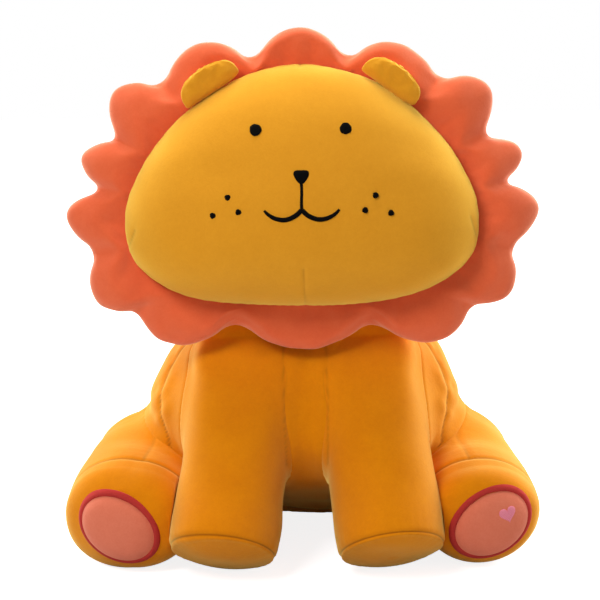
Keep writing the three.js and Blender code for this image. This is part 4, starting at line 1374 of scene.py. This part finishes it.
# %% Filled shapes
THREAD_HEIGHT = 1.0
STITCH_PITCH = 0.85
STITCH_RIDGE = 0.1
STITCH_SUNK = 0.8


def on_face(x, z, height):
    """Points that stand a height in front of the face, in the toy's own frame."""
    return out_of(points_of(x, face_depth(x, z) - height, z), HEAD_FRAME)


FACE_STITCH = ("black_thread", on_face, "head")


def stitched_shape(name, node, edge, middle, rise=THREAD_HEIGHT, kind=FACE_STITCH):
    """A low cushion inside an outline: shares of the outline from a hidden pole over the rim to the top.

    Its kind is a slot, the function that sets points on the ground below it, and the body that it is on.
    """
    slot, place, body = kind
    share, front = cushion_shares(0.15, 6, 0.15, 22)
    x, z = (centre + share * (rim - centre) for centre, rim in zip(middle, edge))
    ridge = STITCH_RIDGE * np.sin(2 * np.pi * (x + 0.35 * z) / STITCH_PITCH)
    height = np.where(front, rise * (1 - share**4) ** 0.5 + ridge * (1 - share**6), -STITCH_SUNK)
    ends = place(*middle, np.array([-STITCH_SUNK, rise]))
    dress(closed_shell(name, place(x, z, height), ends), body, slot, [node])


def disc(radius, middle, around, wobble, seed):
    """A circle, a little uneven as stitching is: two slow waves are added to its radius."""
    turn = angles(around)
    uneven = radius * (1 + wobble * np.sin(3 * turn + seed) + wobble / 2 * np.sin(7 * turn + 2 * seed))
    return middle[0] + uneven * np.cos(turn), middle[1] + uneven * np.sin(turn)


EYE_SPREAD, EYE_RISE, EYE_RADIUS = 32.7, 68, 4.4
FRECKLE_REACH, FRECKLE_RADIUS = 64.5, 2.2
FRECKLE_SHARES = [[0.83, 0.3], [1, 0.1], [0.71, 0.135]]

for word, side in SIDES:
    middle = (side * EYE_SPREAD, EYE_RISE)
    edge = disc(EYE_RADIUS, middle, 64, 0.04, 2 + side)
    stitched_shape(f"eye_stitch_{word}", f"eye_{word}", edge, middle)
    for index, (across, up) in enumerate(FRECKLE_SHARES, 1):
        middle = (side * across * FRECKLE_REACH, up * FRECKLE_REACH)
        edge = disc(FRECKLE_RADIUS, middle, 40, 0.07, index + side)
        stitched_shape(f"freckle_{word}_{index}_stitch", f"freckle_{word}_{index}", edge, middle)

# %% Nose
NOSE_RISE = 33
NOSE_THICKNESS = 1.4
NOSE_STEPS = 8
NOSE_OUTLINE = [
    [0, -5.2], [2.4, -3.6], [4.6, -0.4], [5.7, 2.8], [4.4, 5.0],
    [0, 5.3], [-4.4, 5.0], [-5.7, 2.8], [-4.6, -0.4], [-2.4, -3.6],
]

looped = NOSE_OUTLINE[-1:] + NOSE_OUTLINE + NOSE_OUTLINE[:2]
edge = smooth_curve(looped, NOSE_STEPS * (len(looped) - 1) + 1)[NOSE_STEPS : -NOSE_STEPS - 1]
edge = (edge[:, 0], edge[:, 1] + NOSE_RISE)
stitched_shape("nose_stitch", "nose", edge, (0, NOSE_RISE), NOSE_THICKNESS)

# %% Lines of thread
LINE_HALF_WIDTH = 1.2
MOUTH_HALF_WIDTH = 1.75
MOUTH_TAPER = 0.55
STITCH_RIPPLE = 0.06
LINE_STEPS, LINE_AROUND = 150, 16
NOSE_LINE = [[0, 28.5], [0.2, 22], [-0.1, 15], [0, 8.4]]
LIP = np.array([[0.4, 9.2], [5, 5.2], [12, 2.6], [19, 3.6], [24, 6.4], [27.2, 9.6]])


def thread_line(name, node, path, half_width, taper):
    """A flattened tube along a path on the face: its width ripples, and tapers with the cube of the way."""
    steps = smooth_curve(path, LINE_STEPS)
    ahead = unit(np.gradient(steps, axis=0))
    length = np.cumsum(np.linalg.norm(np.diff(steps, axis=0, prepend=steps[:1]), axis=1))
    wide = half_width * (1 - taper * np.linspace(0, 1, len(steps)) ** 3)
    wide = wide * (1 + STITCH_RIPPLE * np.sin(2 * np.pi * length / STITCH_PITCH))
    turn = angles(LINE_AROUND)
    x = steps[:, :1] - ahead[:, 1:] * wide[:, None] * np.cos(turn)
    z = steps[:, 1:] + ahead[:, :1] * wide[:, None] * np.cos(turn)
    high = THREAD_HEIGHT * np.minimum(wide / wide.max() + 0.25, 1)[:, None] * np.sin(turn)
    ends = on_face(*steps[[0, -1]].T, 0)
    dress(closed_shell(name, on_face(x, z, high), ends), "head", "black_thread", [node])


thread_line("nose_line_stitch", "nose_line", NOSE_LINE, LINE_HALF_WIDTH, 0)
for word, side in SIDES:
    thread_line(f"mouth_stitch_{word}", f"mouth_{word}", LIP * [side, 1], MOUTH_HALF_WIDTH, MOUTH_TAPER)

# %% Heart on the pad
HEART_HALF_WIDTH = 6.6
HEART_TILT = 14
HEART_THICKNESS = 0.8
PAD_EDGE = 0.985
HEART_STEPS = 72
HEART_MIDDLE = (PAD_SIDES[1] + 11, -PAD_MIDDLE_DROP + 8)


def heart(count):
    """The classic heart curve: a cubed sine across, and four cosines up, turned a little."""
    turn = angles(count) + 0.01
    x = np.sin(turn) ** 3
    z = (13 * np.cos(turn) - 5 * np.cos(2 * turn) - 2 * np.cos(3 * turn) - np.cos(4 * turn)) / 16
    tilt = math.radians(HEART_TILT)
    return (x * math.cos(tilt) - z * math.sin(tilt))[::-1], (x * math.sin(tilt) + z * math.cos(tilt))[::-1]


def on_pad(x, z, height):
    """Points that stand a height in front of the right pad's dome."""
    tilt = math.radians(PAD_TILT)
    dx, dz = x - PAD_SIDES[1], z + PAD_MIDDLE_DROP
    along = (dx * math.cos(tilt) + dz * math.sin(tilt)) / PAD_HALF_LENGTH
    across = (-dx * math.sin(tilt) + dz * math.cos(tilt)) / PAD_HALF_WIDTH
    share = np.clip(np.hypot(along, across) / PAD_EDGE, 0, 1)
    return out_of(on_foot(x, z, height + pad_dome(share)), hind_leg_frame(1))


edge = [middle + HEART_HALF_WIDTH * share for middle, share in zip(HEART_MIDDLE, heart(HEART_STEPS))]
pad_stitch = ("heart_thread", on_pad, "hind_leg_right")
stitched_shape("pad_heart_stitch", "pad_heart", edge, HEART_MIDDLE, HEART_THICKNESS, pad_stitch)

# %% [markdown]
# ## Tail
# The tail droops from the back seam and ends in a tuft of the mane's cloth, just above the floor. A
# bevelled curve would do for the tail alone; rings let it widen at its root, and give the tuft its
# drop and its shallow locks.

# %% Tail and tuft
TAIL_ROOT = np.array([0, 110, 40])
TAIL_LENGTH = 62
TUFT_LENGTH = 44
TUFT_RADIUS = 17
TUFT_GAP = 0.3
TAIL_BLEND = np.array([[0, -6, 0], [0, 12, 0]])
TAIL_RINGS, TAIL_AROUND = 90, 48
TUFT_RINGS, TUFT_AROUND = 70, 64
TUFT_LOCKS, LOCK_DEPTH = 8, 0.05
TAIL_DROP = TAIL_ROOT[2] - TUFT_RADIUS - 4
TAIL_STATIONS = [
    [-10, 0, 7], [-5, 0, 11], [0, 0, 12], [15.5, 0.42, 8.9], [31, 0.78, 8.5], [46.5, 0.96, 8.5], [64, 1, 8.5],
]
TUFT_STATIONS = [[0.01, 0.3], [0.06, 0.62], [0.18, 0.86], [0.42, 1], [0.68, 0.82], [0.9, 0.45], [0.985, 0.14]]


def tail_surface():
    """Circles square to the floor along a drooping line."""
    depth, drop, radius = smooth_curve(TAIL_STATIONS, TAIL_RINGS).T[..., None]
    turn = angles(TAIL_AROUND)[::-1]
    grid = TAIL_ROOT + points_of(radius * np.cos(turn), depth, radius * np.sin(turn) - drop * TAIL_DROP)
    ends = TAIL_ROOT + np.array([[0, -12, 0], [0, TAIL_LENGTH + 3, -TAIL_DROP]])
    return pushed(grid, lumps(grid, TAIL_LUMPS)), ends


def tuft_surface():
    """A drop: circles, with a few shallow locks, that swell from the tail's end and taper to a point."""
    along, wide = smooth_curve(TUFT_STATIONS, TUFT_RINGS).T[..., None]
    turn = angles(TUFT_AROUND)[::-1]
    locks = 1 + LOCK_DEPTH * np.cos(TUFT_LOCKS * turn) * np.sin(np.pi * along)
    radius = TUFT_RADIUS * wide * locks
    y = TAIL_LENGTH + TUFT_GAP + along * TUFT_LENGTH
    grid = TAIL_ROOT + points_of(radius * np.cos(turn), y, radius * np.sin(turn) - TAIL_DROP)
    ends = [[0, TAIL_LENGTH, -TAIL_DROP], [0, TAIL_LENGTH + TUFT_LENGTH + TUFT_GAP, -TAIL_DROP]]
    return grid, TAIL_ROOT + np.array(ends)


tail_cover = closed_shell("tail_cover", *tail_surface())
dress(tail_cover, None, "gold_velvet", ["tail"])
root, middle = TAIL_ROOT + TAIL_BLEND
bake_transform(tail_cover)
tuft_cover = closed_shell("tail_tuft_cover", *tuft_surface())
dress(tuft_cover, "tail", "rust_velvet", ["tail_tuft"])

# %% [markdown]
# ## Floor, light and camera
# The toy sits on a plain pale floor under broad soft lamps, as in a catalogue picture. The floor and
# the world turn white only where the camera or a reflection looks straight at them, so that their
# brightness adds nothing to the light on the cloth.

# %% Floor
FLOOR_HALF_WIDTH = 2.2
FLOOR_GAP = 0.0004
FLOOR_GREY = (0.6, 0.6, 0.6, 1)
FLOOR_GLOW = 0.85
WHITE = (1, 1, 1, 1)


def bright_to_camera(tree):
    """1 where a camera, glossy or transmitted ray arrives, and 0 elsewhere."""
    path = add_node(tree, "LightPath", {})
    seen = math_node(tree, "MAXIMUM", path["Is Camera Ray"], path["Is Glossy Ray"])
    return math_node(tree, "MAXIMUM", seen, path["Is Transmission Ray"])


floor_material, tree, shader = new_material("Pale floor")
glow = math_node(tree, "MULTIPLY", bright_to_camera(tree), FLOOR_GLOW)
finish = {"Base Color": FLOOR_GREY, "Roughness": 0.9, "Specular IOR Level": 0.0}
set_inputs(tree, shader, finish | {"Emission Color": WHITE, "Emission Strength": glow})

floor_mesh = bpy.data.meshes.new("floor")
signs = ((-1, -1), (1, -1), (1, 1), (-1, 1))
corners = [(x * FLOOR_HALF_WIDTH, y * FLOOR_HALF_WIDTH, -FLOOR_GAP) for x, y in signs]
floor_mesh.from_pydata(corners, [], [(0, 1, 2, 3)])
floor_mesh.materials.append(floor_material)
floor = in_scene("floor", floor_mesh)
print("floor:", 2 * FLOOR_HALF_WIDTH, "m wide")

# %% World and lamps
AMBIENT = 0.1
LAMP_TARGET = Vector((0, 0, 0.2))

world = bpy.data.worlds.new("Studio")
bpy.context.scene.world = world
world.use_nodes = True
tree = world.node_tree
lit = math_node(tree, "MULTIPLY", bright_to_camera(tree), 1 - AMBIENT)
strength = math_node(tree, "ADD", lit, AMBIENT)
set_inputs(tree, tree.nodes["Background"], {"Color": WHITE, "Strength": strength})


def softbox(name, place, size, power):
    """A square area lamp that faces the middle of the toy."""
    lamp = bpy.data.lights.new(name, "AREA")
    lamp.size = size
    lamp.energy = power
    holder = in_scene(name, lamp)
    holder.location = place
    toward = LAMP_TARGET - Vector(place)
    holder.rotation_euler = toward.to_track_quat("-Z", "Y").to_euler()


softbox("key lamp", (-0.7, -1.05, 1.3), 0.6, 13.8)
softbox("fill lamp", (1.5, -1.5, 0.8), 1.2, 4.5)
softbox("top lamp", (-0.1, 0.25, 1.5), 0.9, 20)
softbox("left rim lamp", (-1.3, 1.0, 0.7), 1.1, 28)
softbox("right rim lamp", (1.4, 0.8, 0.7), 1.1, 38)
print("lamps:", ", ".join(lamp.name for lamp in bpy.data.lights))

# %% Camera
CAMERA_ELEVATION = 13
CAMERA_AZIMUTH = 0.5
CAMERA_ROLL = 1.0
CAMERA_DISTANCE = 1.7
CAMERA_LENS = 134.4
CAMERA_AIM = Vector((-0.003, -0.0961, 0.1935))

elevation, azimuth = math.radians(CAMERA_ELEVATION), math.radians(CAMERA_AZIMUTH)
level = math.cos(elevation)
behind = Vector((math.sin(azimuth) * level, -math.cos(azimuth) * level, math.sin(elevation)))
turned = behind.to_track_quat("Z", "Y").to_matrix() @ Matrix.Rotation(math.radians(-CAMERA_ROLL), 3, "Z")
camera_data = bpy.data.cameras.new("camera")
camera_data.lens = CAMERA_LENS
camera = in_scene("camera", camera_data)
camera.matrix_world = Matrix.Translation(CAMERA_AIM + behind * CAMERA_DISTANCE) @ turned.to_4x4()
bpy.context.scene.camera = camera
bpy.context.scene.view_settings.view_transform = "Standard"
print("camera at", tuple(round(value, 3) for value in camera.matrix_world.translation))
